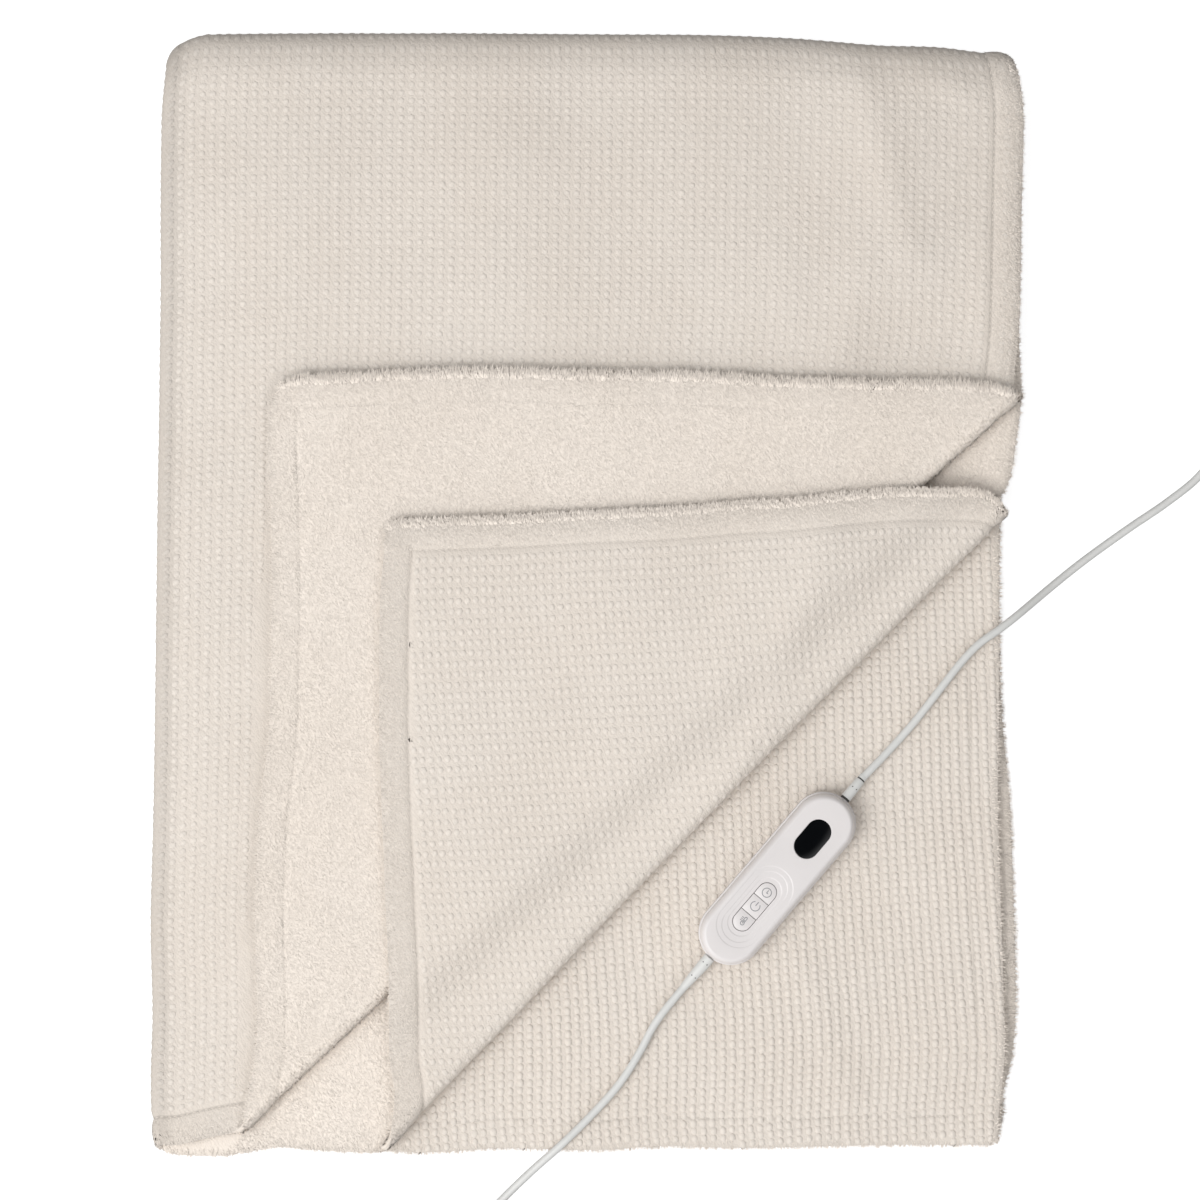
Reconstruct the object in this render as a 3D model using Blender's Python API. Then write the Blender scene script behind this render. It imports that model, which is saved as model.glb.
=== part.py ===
"""Electric heated blanket, folded in quarters, with two corners turned back.

The throw is one double-faced sheet: small raised nubs in ribs on one face, sherpa
pile on the other. It is folded once at the left and once at the top, so it lies in
four layers, and the lower right corners of the two upper layers are turned back.
A hand controller with three keys and a display lies on the third layer, with one
lead on to the blanket and one lead to the wall plug.

Metres, +Z up, +Y towards the top fold. The origin is on the floor under the middle
of the folded cloth.
"""

import math

import bmesh
import bpy
import numpy as np
from mathutils import Vector

# The cloth, cut flat
FLAT_WIDTH = 1.206
FLAT_LENGTH = 1.564
CLOTH = 0.007
HEM_WIDTH = 0.022
HEM_AT_SEAM = 0.78
HEM_AT_EDGE = 0.50
SEAM_SOFT = 0.009
CELL = 0.056
SNAP = 0.0006

# The folds: layers are numbered from the top, 1 to 4
LAYER_STEP = CLOTH + 0.001
LEFT_FOLD_X = -0.2945
TOP_FOLD_Y = 0.3765
LEFT_FOLD_RADIUS = LAYER_STEP / 2
TOP_FOLD_RADIUS = LAYER_STEP
STACK_MIDDLE = 1.5 * LAYER_STEP + CLOTH / 2
ROLL_STEPS = 4
TOP_ROLL_STEPS = 6

HALF_WIDTH = FLAT_WIDTH / 2
HALF_LENGTH = FLAT_LENGTH / 2
LEFT_ARC = LEFT_FOLD_RADIUS * math.pi / 2
TOP_ARC = TOP_FOLD_RADIUS * math.pi / 2
RIGHT_X = LEFT_FOLD_X + HALF_WIDTH - LEFT_ARC
BOTTOM_Y = TOP_FOLD_Y - HALF_LENGTH + TOP_ARC
LEFT_X = LEFT_FOLD_X - LEFT_FOLD_RADIUS - CLOTH / 2
TOP_Y = TOP_FOLD_Y + TOP_FOLD_RADIUS + LEFT_FOLD_RADIUS + CLOTH / 2

# The corners that are turned back. The line is the outside of the roll, seen from
# above, from the right edge to the bottom edge.
TURNED = {
    1: {"start": (0.3003, 0.1428), "end": (-0.2394, -0.3794), "radius": 0.004},
    2: {"start": (0.2891, 0.0560), "end": (-0.1274, -0.3794), "radius": 0.006},
}
CORNER_RADIUS = {1: 0.030, 2: 0.016, 3: 0.014, 4: 0.020}

# The second turned corner climbs onto the first one
CLIMB_HEIGHT = 0.012
CLIMB_START = 0.038
CLIMB_END = 0.002
CLIMB_STEPS = 3

# How far the two folded sides wander from straight: place along the side, offset
LEFT_SIDE_WANDER = (
    (-0.392, -0.0005),
    (-0.365, -0.0030),
    (-0.335, -0.0035),
    (-0.290, -0.0025),
    (-0.230, -0.0039),
    (-0.145, -0.0018),
    (0.060, 0.0010),
    (0.205, 0.0030),
    (0.345, 0.0038),
    (0.380, 0.0070),
)
TOP_SIDE_WANDER = (
    (-0.302, -0.0140),
    (-0.290, -0.0055),
    (-0.272, 0.0000),
    (0.044, 0.0000),
    (0.135, -0.0021),
    (0.205, -0.0077),
    (0.245, -0.0088),
    (0.272, -0.0119),
    (0.290, -0.0126),
    (0.303, -0.0170),
)

# The free edges as they lie, seen from above: x and y of points along each. Rows
# under "turned" are on a corner that is turned back.
RIGHT_EDGE = {
    1: {
        "flat": (
            (0.2985, 0.376),
            (0.3030, 0.360),
            (0.3059, 0.339),
            (0.3062, 0.320),
            (0.3050, 0.267),
            (0.3031, 0.184),
            (0.3015, 0.160),
            (0.2998, 0.143),
        ),
        "turned": (
            (0.2765, 0.1445),
            (0.2300, 0.1470),
            (0.1740, 0.1478),
            (0.1240, 0.1490),
            (0.0710, 0.1525),
            (-0.0105, 0.1535),
            (-0.0850, 0.1555),
            (-0.1430, 0.1535),
            (-0.2000, 0.1505),
        ),
    },
    2: {
        "flat": (
            (0.2985, 0.376),
            (0.3025, 0.330),
            (0.3030, 0.200),
            (0.3052, 0.143),
            (0.3056, 0.131),
            (0.3017, 0.100),
            (0.2985, 0.077),
            (0.2935, 0.064),
            (0.2888, 0.056),
        ),
        "turned": (
            (0.2352, 0.0721),
            (0.1939, 0.0714),
            (0.1323, 0.0651),
            (0.0910, 0.0625),
            (0.0504, 0.0588),
            (-0.0105, 0.0560),
            (-0.0644, 0.0530),
            (-0.1100, 0.0514),
        ),
    },
    3: {
        "flat": (
            (0.2985, 0.376),
            (0.2980, 0.330),
            (0.2940, 0.150),
            (0.2912, 0.050),
            (0.2912, -0.075),
            (0.2905, -0.150),
            (0.2925, -0.220),
            (0.2945, -0.285),
            (0.2955, -0.325),
            (0.2910, -0.370),
        ),
        "turned": (),
    },
    4: {
        "flat": (
            (0.2985, 0.376),
            (0.2970, 0.330),
            (0.2930, 0.150),
            (0.2895, 0.000),
            (0.2940, -0.095),
            (0.2995, -0.160),
            (0.3022, -0.230),
            (0.3035, -0.300),
            (0.3010, -0.335),
            (0.2945, -0.362),
        ),
        "turned": (),
    },
}
BOTTOM_EDGE = {
    1: {
        "flat": (
            (-0.3000, -0.3865),
            (-0.2849, -0.3868),
            (-0.2550, -0.3800),
        ),
        "turned": (
            (-0.2380, -0.3490),
            (-0.2324, -0.3200),
            (-0.2318, -0.2500),
            (-0.2320, -0.2010),
            (-0.2289, -0.1450),
            (-0.2226, -0.0910),
            (-0.2210, -0.0370),
            (-0.2205, 0.0160),
            (-0.2212, 0.0700),
            (-0.2233, 0.1180),
        ),
    },
    2: {
        "flat": (
            (-0.3000, -0.3915),
            (-0.2835, -0.3948),
            (-0.2527, -0.3952),
            (-0.2142, -0.3892),
            (-0.1953, -0.3910),
            (-0.1449, -0.3925),
        ),
        "turned": (
            (-0.1355, -0.3500),
            (-0.1393, -0.3234),
            (-0.1393, -0.2562),
            (-0.1414, -0.2121),
            (-0.1442, -0.1449),
            (-0.1456, -0.0910),
            (-0.1449, -0.0014),
            (-0.1420, 0.0300),
        ),
    },
    3: {
        "flat": (
            (-0.3000, -0.3885),
            (-0.2000, -0.3890),
            (-0.1176, -0.3945),
            (-0.0840, -0.3934),
            (-0.0609, -0.3915),
            (0.0140, -0.3927),
            (0.0588, -0.3902),
            (0.1141, -0.3913),
            (0.2142, -0.3893),
            (0.2723, -0.3890),
        ),
        "turned": (),
    },
    4: {
        "flat": (
            (-0.3000, -0.3885),
            (-0.1500, -0.3875),
            (0.0500, -0.3865),
            (0.2300, -0.3845),
            (0.2800, -0.3820),
        ),
        "turned": (),
    },
}

# Broad soft creases of the upper layers: both ends, half width, height
CREASES = (
    {"start": (0.192, 0.345), "end": (0.223, 0.247), "half_width": 0.055, "height": 0.0025},
    {"start": (0.195, 0.228), "end": (0.170, 0.165), "half_width": 0.055, "height": 0.0020},
    {"start": (0.160, 0.030), "end": (0.105, -0.120), "half_width": 0.060, "height": 0.0025},
    {"start": (-0.060, 0.290), "end": (-0.130, 0.215), "half_width": 0.070, "height": 0.0020},
    {"start": (-0.180, 0.020), "end": (-0.190, -0.130), "half_width": 0.060, "height": 0.0020},
)
LIFT_FROM = 0.0155
LIFT_FULL = 0.0270

# Pieces that touch keep this gap, and the controller lies on the third layer
TOUCH_GAP = 0.0003
CLOTH_TOP = LAYER_STEP + CLOTH

# The hand controller: own u axis along it towards the display, v to its left
CONTROLLER_X = 0.1330
CONTROLLER_Y = -0.1995
CONTROLLER_TURN = math.radians(49.5)
CONTROLLER_Z = CLOTH_TOP + TOUCH_GAP
CONTROLLER_LENGTH = 0.145
CONTROLLER_WIDTH = 0.045
LOWER_SHELL_TOP = 0.0090
UPPER_SHELL_BASE = LOWER_SHELL_TOP + TOUCH_GAP
CONTROLLER_HEIGHT = 0.0190
LOWER_ROUND = 0.0030
UPPER_ROUND = 0.0050
ROUND_STEPS = 4
END_STEPS = 14
CUT_ABOVE = 0.0020

DISPLAY_U = 0.0371
DISPLAY_LENGTH = 0.0305
DISPLAY_WIDTH = 0.0177
DISPLAY_DEPTH = 0.0016
DISPLAY_THICK = 0.0012

KEYS_U = -0.0250
KEYS_LENGTH = 0.0396
KEYS_WIDTH = 0.0131
KEY_GAP = 0.0004
KEY_HEIGHT = 0.0022
KEY_TRAVEL = 0.0008
KEY_PROUD = 0.00035
UNDER_KEYS = 0.0006
DISH_STEP = 0.0003
# Length and width of the three steps of the dish around the keys
DISH = (
    {"length": 0.0660, "width": 0.0332},
    {"length": 0.0584, "width": 0.0255},
    {"length": 0.0488, "width": 0.0202},
)
KEY_TOP = CONTROLLER_HEIGHT - DISH_STEP * len(DISH) + KEY_PROUD
KEY_WELL_FLOOR = KEY_TOP - KEY_HEIGHT - KEY_TRAVEL - UNDER_KEYS
# Each key's ends along the controller, from the middle of the three
KEYS = {
    "key_timer": (0.0070, KEYS_LENGTH / 2),
    "key_power": (-0.0064, 0.0070),
    "key_heat": (-KEYS_LENGTH / 2, -0.0064),
}

# The leads
CORD_RADIUS = 0.00275
CORD_POINT_STEP = 0.0138
ROUTE_FINE_STEPS = 20
ON_CLOTH = CLOTH_TOP + TOUCH_GAP + CORD_RADIUS
ON_FLOOR = CORD_RADIUS
RELIEF_LENGTH = {"upper": 0.0180, "lower": 0.0250}
RELIEF_SIDES = 16
RELIEF_GAP = 0.0009
RELIEF_BASE_RADIUS = 0.0041
RELIEF_END_RADIUS = 0.0032
RELIEF_Z = 0.0225
RELIEF_DROP = 0.0026

# Lead from the controller towards the blanket's own socket: x, y, z after its relief
BLANKET_LEAD = (
    (0.2093, -0.1127, 0.0184),
    (0.2282, -0.0917, ON_CLOTH),
    (0.2464, -0.0686, ON_CLOTH),
    (0.2618, -0.0490, ON_CLOTH),
    (0.2745, -0.0357, ON_CLOTH),
    (0.2885, -0.0258, 0.0172),
    (0.2996, -0.0175, 0.0153),
    (0.3101, -0.0091, 0.0119),
    (0.3250, 0.0030, 0.0072),
    (0.3420, 0.0165, 0.0038),
    (0.3600, 0.0300, ON_FLOOR),
    (0.3840, 0.0470, ON_FLOOR),
    (0.4090, 0.0640, ON_FLOOR),
    (0.4320, 0.0830, ON_FLOOR),
    (0.4490, 0.1080, ON_FLOOR),
    (0.4550, 0.1380, ON_FLOOR),
    (0.4552, 0.1650, 0.0040),
    (0.4550, 0.1900, 0.0055),
)
# Lead from the controller to the coil: x, y, z after its relief
MAINS_LEAD = (
    (0.0490, -0.2996, 0.0183),
    (0.0364, -0.3227, ON_CLOTH),
    (0.0217, -0.3451, ON_CLOTH),
    (0.0014, -0.3675, ON_CLOTH),
    (-0.0182, -0.3868, 0.0174),
    (-0.0357, -0.4030, 0.0123),
    (-0.0500, -0.4172, 0.0067),
    (-0.0645, -0.4320, 0.0040),
)

# The rest of the mains lead, wound in a flat coil and tied
COIL_MIDDLE_RADIUS = 0.0330
COIL_COLUMNS = 4
COIL_LAYERS = 2
COIL_BASE = 0.0008
COIL_ENTRY_ANGLE = math.radians(135.0)
COIL_EXIT_ANGLE = math.radians(270.0)
COIL_ENTRY = (-0.0810, -0.4485)
COIL_CLEAR = 0.0225
COIL_BLUNT = 0.6 * CORD_RADIUS
COIL_STEPS = 36
TIE_ANGLE = math.radians(20.0)
TIE_WIDTH = 0.006
TIE_THICK = 0.0005
TIE_SLACK = 0.0005

COIL_WIDTH = COIL_COLUMNS * 2 * CORD_RADIUS
COIL_HEIGHT = COIL_LAYERS * 2 * CORD_RADIUS
COIL_OUTER_LINE = COIL_MIDDLE_RADIUS + COIL_WIDTH / 2 - CORD_RADIUS
COIL_X = COIL_ENTRY[0] - COIL_OUTER_LINE * math.cos(COIL_ENTRY_ANGLE)
COIL_Y = COIL_ENTRY[1] - COIL_OUTER_LINE * math.sin(COIL_ENTRY_ANGLE)

# The wall plug, beside the coil, pins to the right
PLUG_TAIL = 0.0550
PLUG_LENGTH = 0.0350
PLUG_WIDTH = 0.0353
PLUG_NECK = 0.0120
PLUG_THICK = 0.0137
PLUG_ROUND = 0.0030
PIN_SPACING = 0.0186
PIN_RADIUS = 0.0020
PIN_LENGTH = 0.0190
PIN_SIDES = 16
# A moulded body widens between these shares of its length
NECK_END = 0.25
WIDE_FROM = 0.62

# The connector at the end of the blanket lead
CONNECTOR_LENGTH = 0.0360
CONNECTOR_WIDTH = 0.0200
CONNECTOR_NECK = 0.0100
CONNECTOR_THICK = 0.0110
CONNECTOR_ROUND = 0.0022
CONNECTOR_PIN_RADIUS = 0.0013
CONNECTOR_PIN_SPACING = 0.0080
CONNECTOR_PIN_LENGTH = 0.0090

# Colours, linear
CREAM = (0.80, 0.74, 0.66, 1.0)
SHELL_WHITE = (0.78, 0.77, 0.76, 1.0)
CORD_WHITE = (0.74, 0.75, 0.74, 1.0)
DISPLAY_BLACK = (0.006, 0.007, 0.009, 1.0)
PIN_METAL = (0.72, 0.70, 0.66, 1.0)


def clear_scene():
    for thing in list(bpy.data.objects):
        bpy.data.objects.remove(thing, do_unlink=True)


def make_material(name, colour, roughness, metallic=0.0):
    material = bpy.data.materials.new(name)
    material.use_nodes = True
    shader = material.node_tree.nodes["Principled BSDF"]
    shader.inputs["Base Color"].default_value = colour
    shader.inputs["Roughness"].default_value = roughness
    shader.inputs["Metallic"].default_value = metallic
    material.diffuse_color = colour
    return material


def make_object(name, bm, material, parent=None):
    bmesh.ops.recalc_face_normals(bm, faces=bm.faces[:])
    mesh = bpy.data.meshes.new(name)
    bm.to_mesh(mesh)
    bm.free()
    mesh.materials.append(material)
    mesh.shade_smooth()
    mesh.set_sharp_from_angle(angle=math.radians(35))
    thing = bpy.data.objects.new(name, mesh)
    bpy.context.collection.objects.link(thing)
    thing.parent = parent
    return thing


# --- Rules for the cloth ---------------------------------------------------------


def smooth(value, low, high):
    """0 below low, 1 above high, and a smooth rise between them."""
    share = min(max((value - low) / (high - low), 0.0), 1.0)
    return share * share * (3.0 - 2.0 * share)


def read_table(rows, place):
    """A smooth curve through the rows, level past both ends."""
    if place <= rows[0][0]:
        return rows[0][1]
    if place >= rows[-1][0]:
        return rows[-1][1]
    last = len(rows) - 1
    i = max(k for k in range(last) if rows[k][0] <= place)
    (x1, y1), (x2, y2) = rows[i], rows[i + 1]
    x0, y0 = rows[max(i - 1, 0)]
    x3, y3 = rows[min(i + 2, last)]
    span = x2 - x1
    slope1 = (y2 - y0) / (x2 - x0)
    slope2 = (y3 - y1) / (x3 - x1)
    t = (place - x1) / span
    return (
        y1 * (1 + 2 * t) * (1 - t) ** 2
        + slope1 * span * t * (1 - t) ** 2
        + y2 * t * t * (3 - 2 * t)
        + slope2 * span * t * t * (t - 1)
    )


def wander(x, y):
    """How far the folded sides' wander moves a place, fading to the free edges."""
    across = min(max((x - LEFT_X) / (RIGHT_X - LEFT_X), 0.0), 1.0)
    down = min(max((TOP_Y - y) / (TOP_Y - BOTTOM_Y), 0.0), 1.0)
    return (
        read_table(LEFT_SIDE_WANDER, y) * (1 - across),
        read_table(TOP_SIDE_WANDER, x) * (1 - down),
    )


class TurnedCorner:
    """One layer's corner, rolled up and laid back over a straight line."""

    def __init__(self, start, end, radius):
        self.radius = radius
        self.arc = math.pi * radius
        along = (Vector(end) - Vector(start)).normalized()
        self.outward = Vector((-along.y, along.x))
        self.edge = Vector(start)
        self.hinge = self.edge - self.outward * (radius + CLOTH / 2)

    def past_hinge(self, x, y):
        """Distance past the line where the cloth starts to roll up."""
        return (Vector((x, y)) - self.hinge).dot(self.outward)

    def past_edge(self, x, y):
        """Distance past the outside of the roll."""
        return (Vector((x, y)) - self.edge).dot(self.outward)

    def unturn(self, x, y):
        """Where a place seen on the turned corner was while the layer lay flat."""
        return Vector((x, y)) + self.outward * (self.arc - 2 * self.past_hinge(x, y))

    def turn(self, x, y, middle, above):
        """Turn one point of the layer, given as a height above the layer's middle."""
        past = self.past_hinge(x, y)
        if past <= 0:
            return x, y, middle + above
        reach = self.radius - above
        if past < self.arc:
            angle = past / self.radius
            out = reach * math.sin(angle)
            up = self.radius - reach * math.cos(angle)
        else:
            out = self.arc - past
            up = self.radius + reach
        foot = Vector((x, y)) + self.outward * (out - past)
        return foot.x, foot.y, middle + up


CORNERS = {layer: TurnedCorner(**line) for layer, line in TURNED.items()}
LAYER_MIDDLE = {layer: CLOTH / 2 + (4 - layer) * LAYER_STEP for layer in (1, 2, 3, 4)}


def edge_offsets(edges, layer, along, across, nominal, sign):
    """Rows of place along a free edge and how far it lies past its nominal line."""
    rows = []
    for x, y in edges[layer]["flat"] + edges[layer]["turned"]:
        move_x, move_y = wander(x, y)
        place = Vector((x - move_x, y - move_y))
        if (x, y) in edges[layer]["turned"]:
            place = CORNERS[layer].unturn(place.x, place.y)
        rows.append((place[along], sign * (place[across] - nominal)))
    return sorted(rows)


RIGHT_OFFSETS = {k: edge_offsets(RIGHT_EDGE, k, 1, 0, RIGHT_X, 1) for k in RIGHT_EDGE}
BOTTOM_OFFSETS = {k: edge_offsets(BOTTOM_EDGE, k, 0, 1, BOTTOM_Y, -1) for k in BOTTOM_EDGE}


def layer_weights(s, t):
    """How much a flat place belongs to each layer: one of them, or two on a roll."""
    right = 0.5 + 0.5 * min(max(s / LEFT_ARC, -1.0), 1.0)
    front = 0.5 + 0.5 * min(max(t / TOP_ARC, -1.0), 1.0)
    return {
        1: right * front,
        2: (1 - right) * front,
        3: (1 - right) * (1 - front),
        4: right * (1 - front),
    }


def shape_flat(s, t):
    """Round the cut sheet's corners and give its free edges their uneven outline."""
    weights = layer_weights(s, t)
    layer = max(weights, key=weights.get)
    radius = CORNER_RADIUS[layer]
    u = (abs(s) - (HALF_WIDTH - radius)) / radius
    v = (abs(t) - (HALF_LENGTH - radius)) / radius
    in_s, in_t = abs(s), abs(t)
    if u > 0 and v > 0:
        in_s += radius * u * (math.sqrt(1 - v * v / 2) - 1)
        in_t += radius * v * (math.sqrt(1 - u * u / 2) - 1)
    x = LEFT_FOLD_X + abs(s) - LEFT_ARC
    y = TOP_FOLD_Y - abs(t) + TOP_ARC
    grow_s = sum(w * read_table(RIGHT_OFFSETS[k], y) for k, w in weights.items() if w)
    grow_t = sum(w * read_table(BOTTOM_OFFSETS[k], x) for k, w in weights.items() if w)
    in_s += grow_s * abs(s) / HALF_WIDTH
    in_t += grow_t * abs(t) / HALF_LENGTH
    return math.copysign(in_s, s), math.copysign(in_t, t)


def hem_share(s, t):
    """The thickness of the cloth near its free edges, as a share of CLOTH."""
    inside = min(HALF_WIDTH - abs(s), HALF_LENGTH - abs(t))
    if inside >= 2 * HEM_WIDTH:
        return 1.0
    rows = (
        (0.0, HEM_AT_EDGE),
        (HEM_WIDTH / 2, 1.0),
        (HEM_WIDTH, HEM_AT_SEAM),
        (HEM_WIDTH + SEAM_SOFT, 1.0),
    )
    return read_table(rows, inside)


def crease_lift(x, y):
    """Height of the broad soft creases over a place."""
    lift = 0.0
    place = Vector((x, y))
    for crease in CREASES:
        start = Vector(crease["start"])
        line = Vector(crease["end"]) - start
        share = min(max((place - start).dot(line) / line.length_squared, 0.0), 1.0)
        away = (place - start - line * share).length
        lift += crease["height"] * (1 - smooth(away, 0.0, crease["half_width"]))
    return lift


def fold_point(s, t, n):
    """Where a point of the flat cloth lies: s across, t along, n above its middle,
    the nubs' face upwards."""
    if abs(s) <= LEFT_ARC:
        angle = s / LEFT_FOLD_RADIUS
        x = LEFT_FOLD_X - (LEFT_FOLD_RADIUS + n) * math.cos(angle)
        height = (LEFT_FOLD_RADIUS + n) * math.sin(angle)
    else:
        x = LEFT_FOLD_X + abs(s) - LEFT_ARC
        height = math.copysign(LEFT_FOLD_RADIUS + n, s)
    if abs(t) <= TOP_ARC:
        angle = t / TOP_FOLD_RADIUS
        y = TOP_FOLD_Y + (TOP_FOLD_RADIUS + height) * math.cos(angle)
        z = STACK_MIDDLE + (TOP_FOLD_RADIUS + height) * math.sin(angle)
    else:
        y = TOP_FOLD_Y - abs(t) + TOP_ARC
        z = STACK_MIDDLE + math.copysign(TOP_FOLD_RADIUS + height, t)
    if t > TOP_ARC and abs(s) > LEFT_ARC:
        layer = 1 if s > 0 else 2
        corner = CORNERS[layer]
        turned = corner.past_hinge(x, y) > corner.arc
        x, y, z = corner.turn(x, y, LAYER_MIDDLE[layer], z - LAYER_MIDDLE[layer])
        if turned and layer == 2:
            away = CORNERS[1].past_edge(x, y)
            z += CLIMB_HEIGHT * (1 - smooth(away, CLIMB_END, CLIMB_START))
    move_x, move_y = wander(x, y)
    z += crease_lift(x, y) * smooth(z, LIFT_FROM, LIFT_FULL)
    return x + move_x, y + move_y, z


# --- The blanket -----------------------------------------------------------------


def cut(bm, faces, point, normal):
    """Cut faces along a line of the flat cloth, so that a bend can follow it."""
    edges = {edge for face in faces for edge in face.edges}
    verts = {vert for face in faces for vert in face.verts}
    bmesh.ops.bisect_plane(
        bm,
        geom=list(verts) + list(edges) + list(faces),
        dist=SNAP,
        plane_co=(point[0], point[1], 0.0),
        plane_no=(normal[0], normal[1], 0.0),
    )


def cut_straight_lines(bm):
    """Lines of the two rolls and of the hems, right across the cloth."""
    places_s = [LEFT_ARC * (2 * k / ROLL_STEPS - 1) for k in range(ROLL_STEPS + 1)]
    places_t = [TOP_ARC * (2 * k / TOP_ROLL_STEPS - 1) for k in range(TOP_ROLL_STEPS + 1)]
    for inside in (HEM_WIDTH / 2, HEM_WIDTH):
        places_s += [HALF_WIDTH - inside, inside - HALF_WIDTH]
        places_t += [HALF_LENGTH - inside, inside - HALF_LENGTH]
    for place in places_s:
        cut(bm, bm.faces[:], (place, 0.0), (1.0, 0.0))
    for place in places_t:
        cut(bm, bm.faces[:], (0.0, place), (0.0, 1.0))


def to_flat(layer, x, y):
    """The flat place of a place seen from above, on one of the two upper layers."""
    across = x - LEFT_FOLD_X + LEFT_ARC
    return (across if layer == 1 else -across), TOP_FOLD_Y + TOP_ARC - y


def cut_layer_line(bm, layer, point, normal):
    """A line on one upper layer, given as it lies flat and seen from above."""
    side = 1.0 if layer == 1 else -1.0
    faces = []
    for face in bm.faces:
        middle = face.calc_center_median()
        if middle.x * side > LEFT_ARC and middle.y > TOP_ARC:
            faces.append(face)
    cut(bm, faces, to_flat(layer, point.x, point.y), (normal.x * side, -normal.y))


def cut_rolls(bm):
    """Lines along the rolls of both turned corners."""
    for layer, corner in CORNERS.items():
        for k in range(ROLL_STEPS + 1):
            point = corner.hinge + corner.outward * corner.arc * k / ROLL_STEPS
            cut_layer_line(bm, layer, point, corner.outward)


def cut_climb(bm):
    """Lines where the second corner bends as it climbs onto the first."""
    first, second = CORNERS[1], CORNERS[2]
    turned_normal = first.outward.reflect(second.outward)
    for k in range(CLIMB_STEPS + 1):
        away = CLIMB_END + (CLIMB_START - CLIMB_END) * k / CLIMB_STEPS
        place = first.edge + first.outward * away
        cut_layer_line(bm, 2, second.unturn(place.x, place.y), turned_normal)


def build_blanket(material):
    bm = bmesh.new()
    bmesh.ops.create_grid(
        bm,
        x_segments=2 * round(HALF_WIDTH / CELL),
        y_segments=2 * round(HALF_LENGTH / CELL),
        size=0.5,
    )
    bmesh.ops.scale(bm, verts=bm.verts[:], vec=(FLAT_WIDTH, FLAT_LENGTH, 1.0))
    cut_straight_lines(bm)
    share = bm.verts.layers.float.new("thickness")
    for vert in bm.verts:
        vert[share] = hem_share(vert.co.x, vert.co.y)
    for vert in bm.verts:
        vert.co.x, vert.co.y = shape_flat(vert.co.x, vert.co.y)
    cut_rolls(bm)
    cut_climb(bm)
    bmesh.ops.triangulate(bm, faces=bm.faces[:])
    lower = set(bm.verts)
    bmesh.ops.extrude_face_region(bm, geom=bm.faces[:])
    for vert in bm.verts:
        side = -0.5 if vert in lower else 0.5
        vert.co = fold_point(vert.co.x, vert.co.y, side * CLOTH * vert[share])
    make_object("blanket", bm, material)


# --- The hand controller ---------------------------------------------------------


def stadium_face(bm, length, width, middle, height):
    """A flat face with straight sides and round ends, long way along x."""
    radius = width / 2
    straight = length / 2 - radius
    verts = []
    for end, turn in ((1, 0.0), (-1, math.pi)):
        for k in range(END_STEPS + 1):
            angle = turn + math.pi / 2 * (2 * k / END_STEPS - 1)
            x = middle + end * straight + radius * math.cos(angle)
            verts.append(bm.verts.new((x, radius * math.sin(angle), height)))
    return bm.faces.new(verts)


def raise_face(bm, face, length, width, middle, height):
    """Extrude a stadium face to its next section."""
    base = [face, *face.edges, *face.verts]
    grown = bmesh.ops.extrude_face_region(bm, geom=base)["geom"]
    top = next(part for part in grown if isinstance(part, bmesh.types.BMFace))
    radius = width / 2
    straight = length / 2 - radius
    old_radius = max(abs(vert.co.y) for vert in top.verts)
    old_straight = max(vert.co.x for vert in top.verts) - middle - old_radius
    for vert in top.verts:
        end = 1.0 if vert.co.x > middle else -1.0
        out = vert.co.x - middle - end * old_straight
        vert.co.x = middle + end * straight + out * radius / old_radius
        vert.co.y *= radius / old_radius
        vert.co.z = height
    return top


def stadium_solid(length, width, sections, middle=0.0):
    """A stack of stadium sections, each a height and how far it is drawn in."""
    bm = bmesh.new()
    height, inset = sections[0]
    face = stadium_face(bm, length - 2 * inset, width - 2 * inset, middle, height)
    for height, inset in sections[1:]:
        face = raise_face(bm, face, length - 2 * inset, width - 2 * inset, middle, height)
    return bm


def rounded_sections(low, high, round_low, round_high):
    """Heights and insets of a side that is rounded at its lower and upper edge."""
    rows = []
    if round_low:
        for k in range(ROUND_STEPS):
            angle = math.pi / 2 * k / ROUND_STEPS
            rows.append(
                (low + round_low * (1 - math.cos(angle)), round_low * (1 - math.sin(angle)))
            )
    rows.append((low + round_low, 0.0))
    rows.append((high - round_high, 0.0))
    if round_high:
        for k in range(1, ROUND_STEPS + 1):
            angle = math.pi / 2 * k / ROUND_STEPS
            rows.append(
                (
                    high - round_high * (1 - math.sin(angle)),
                    round_high * (1 - math.cos(angle)),
                )
            )
    return rows


def add_cut(target, name, bm, parent):
    """Take a solid's shape out of an object."""
    mesh = bpy.data.meshes.new(name)
    bmesh.ops.recalc_face_normals(bm, faces=bm.faces[:])
    bm.to_mesh(mesh)
    bm.free()
    cutter = bpy.data.objects.new(name, mesh)
    bpy.context.collection.objects.link(cutter)
    cutter.parent = parent
    cutter.hide_render = True
    cutter.display_type = "WIRE"
    modifier = target.modifiers.new(name, "BOOLEAN")
    modifier.operation = "DIFFERENCE"
    modifier.object = cutter


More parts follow.
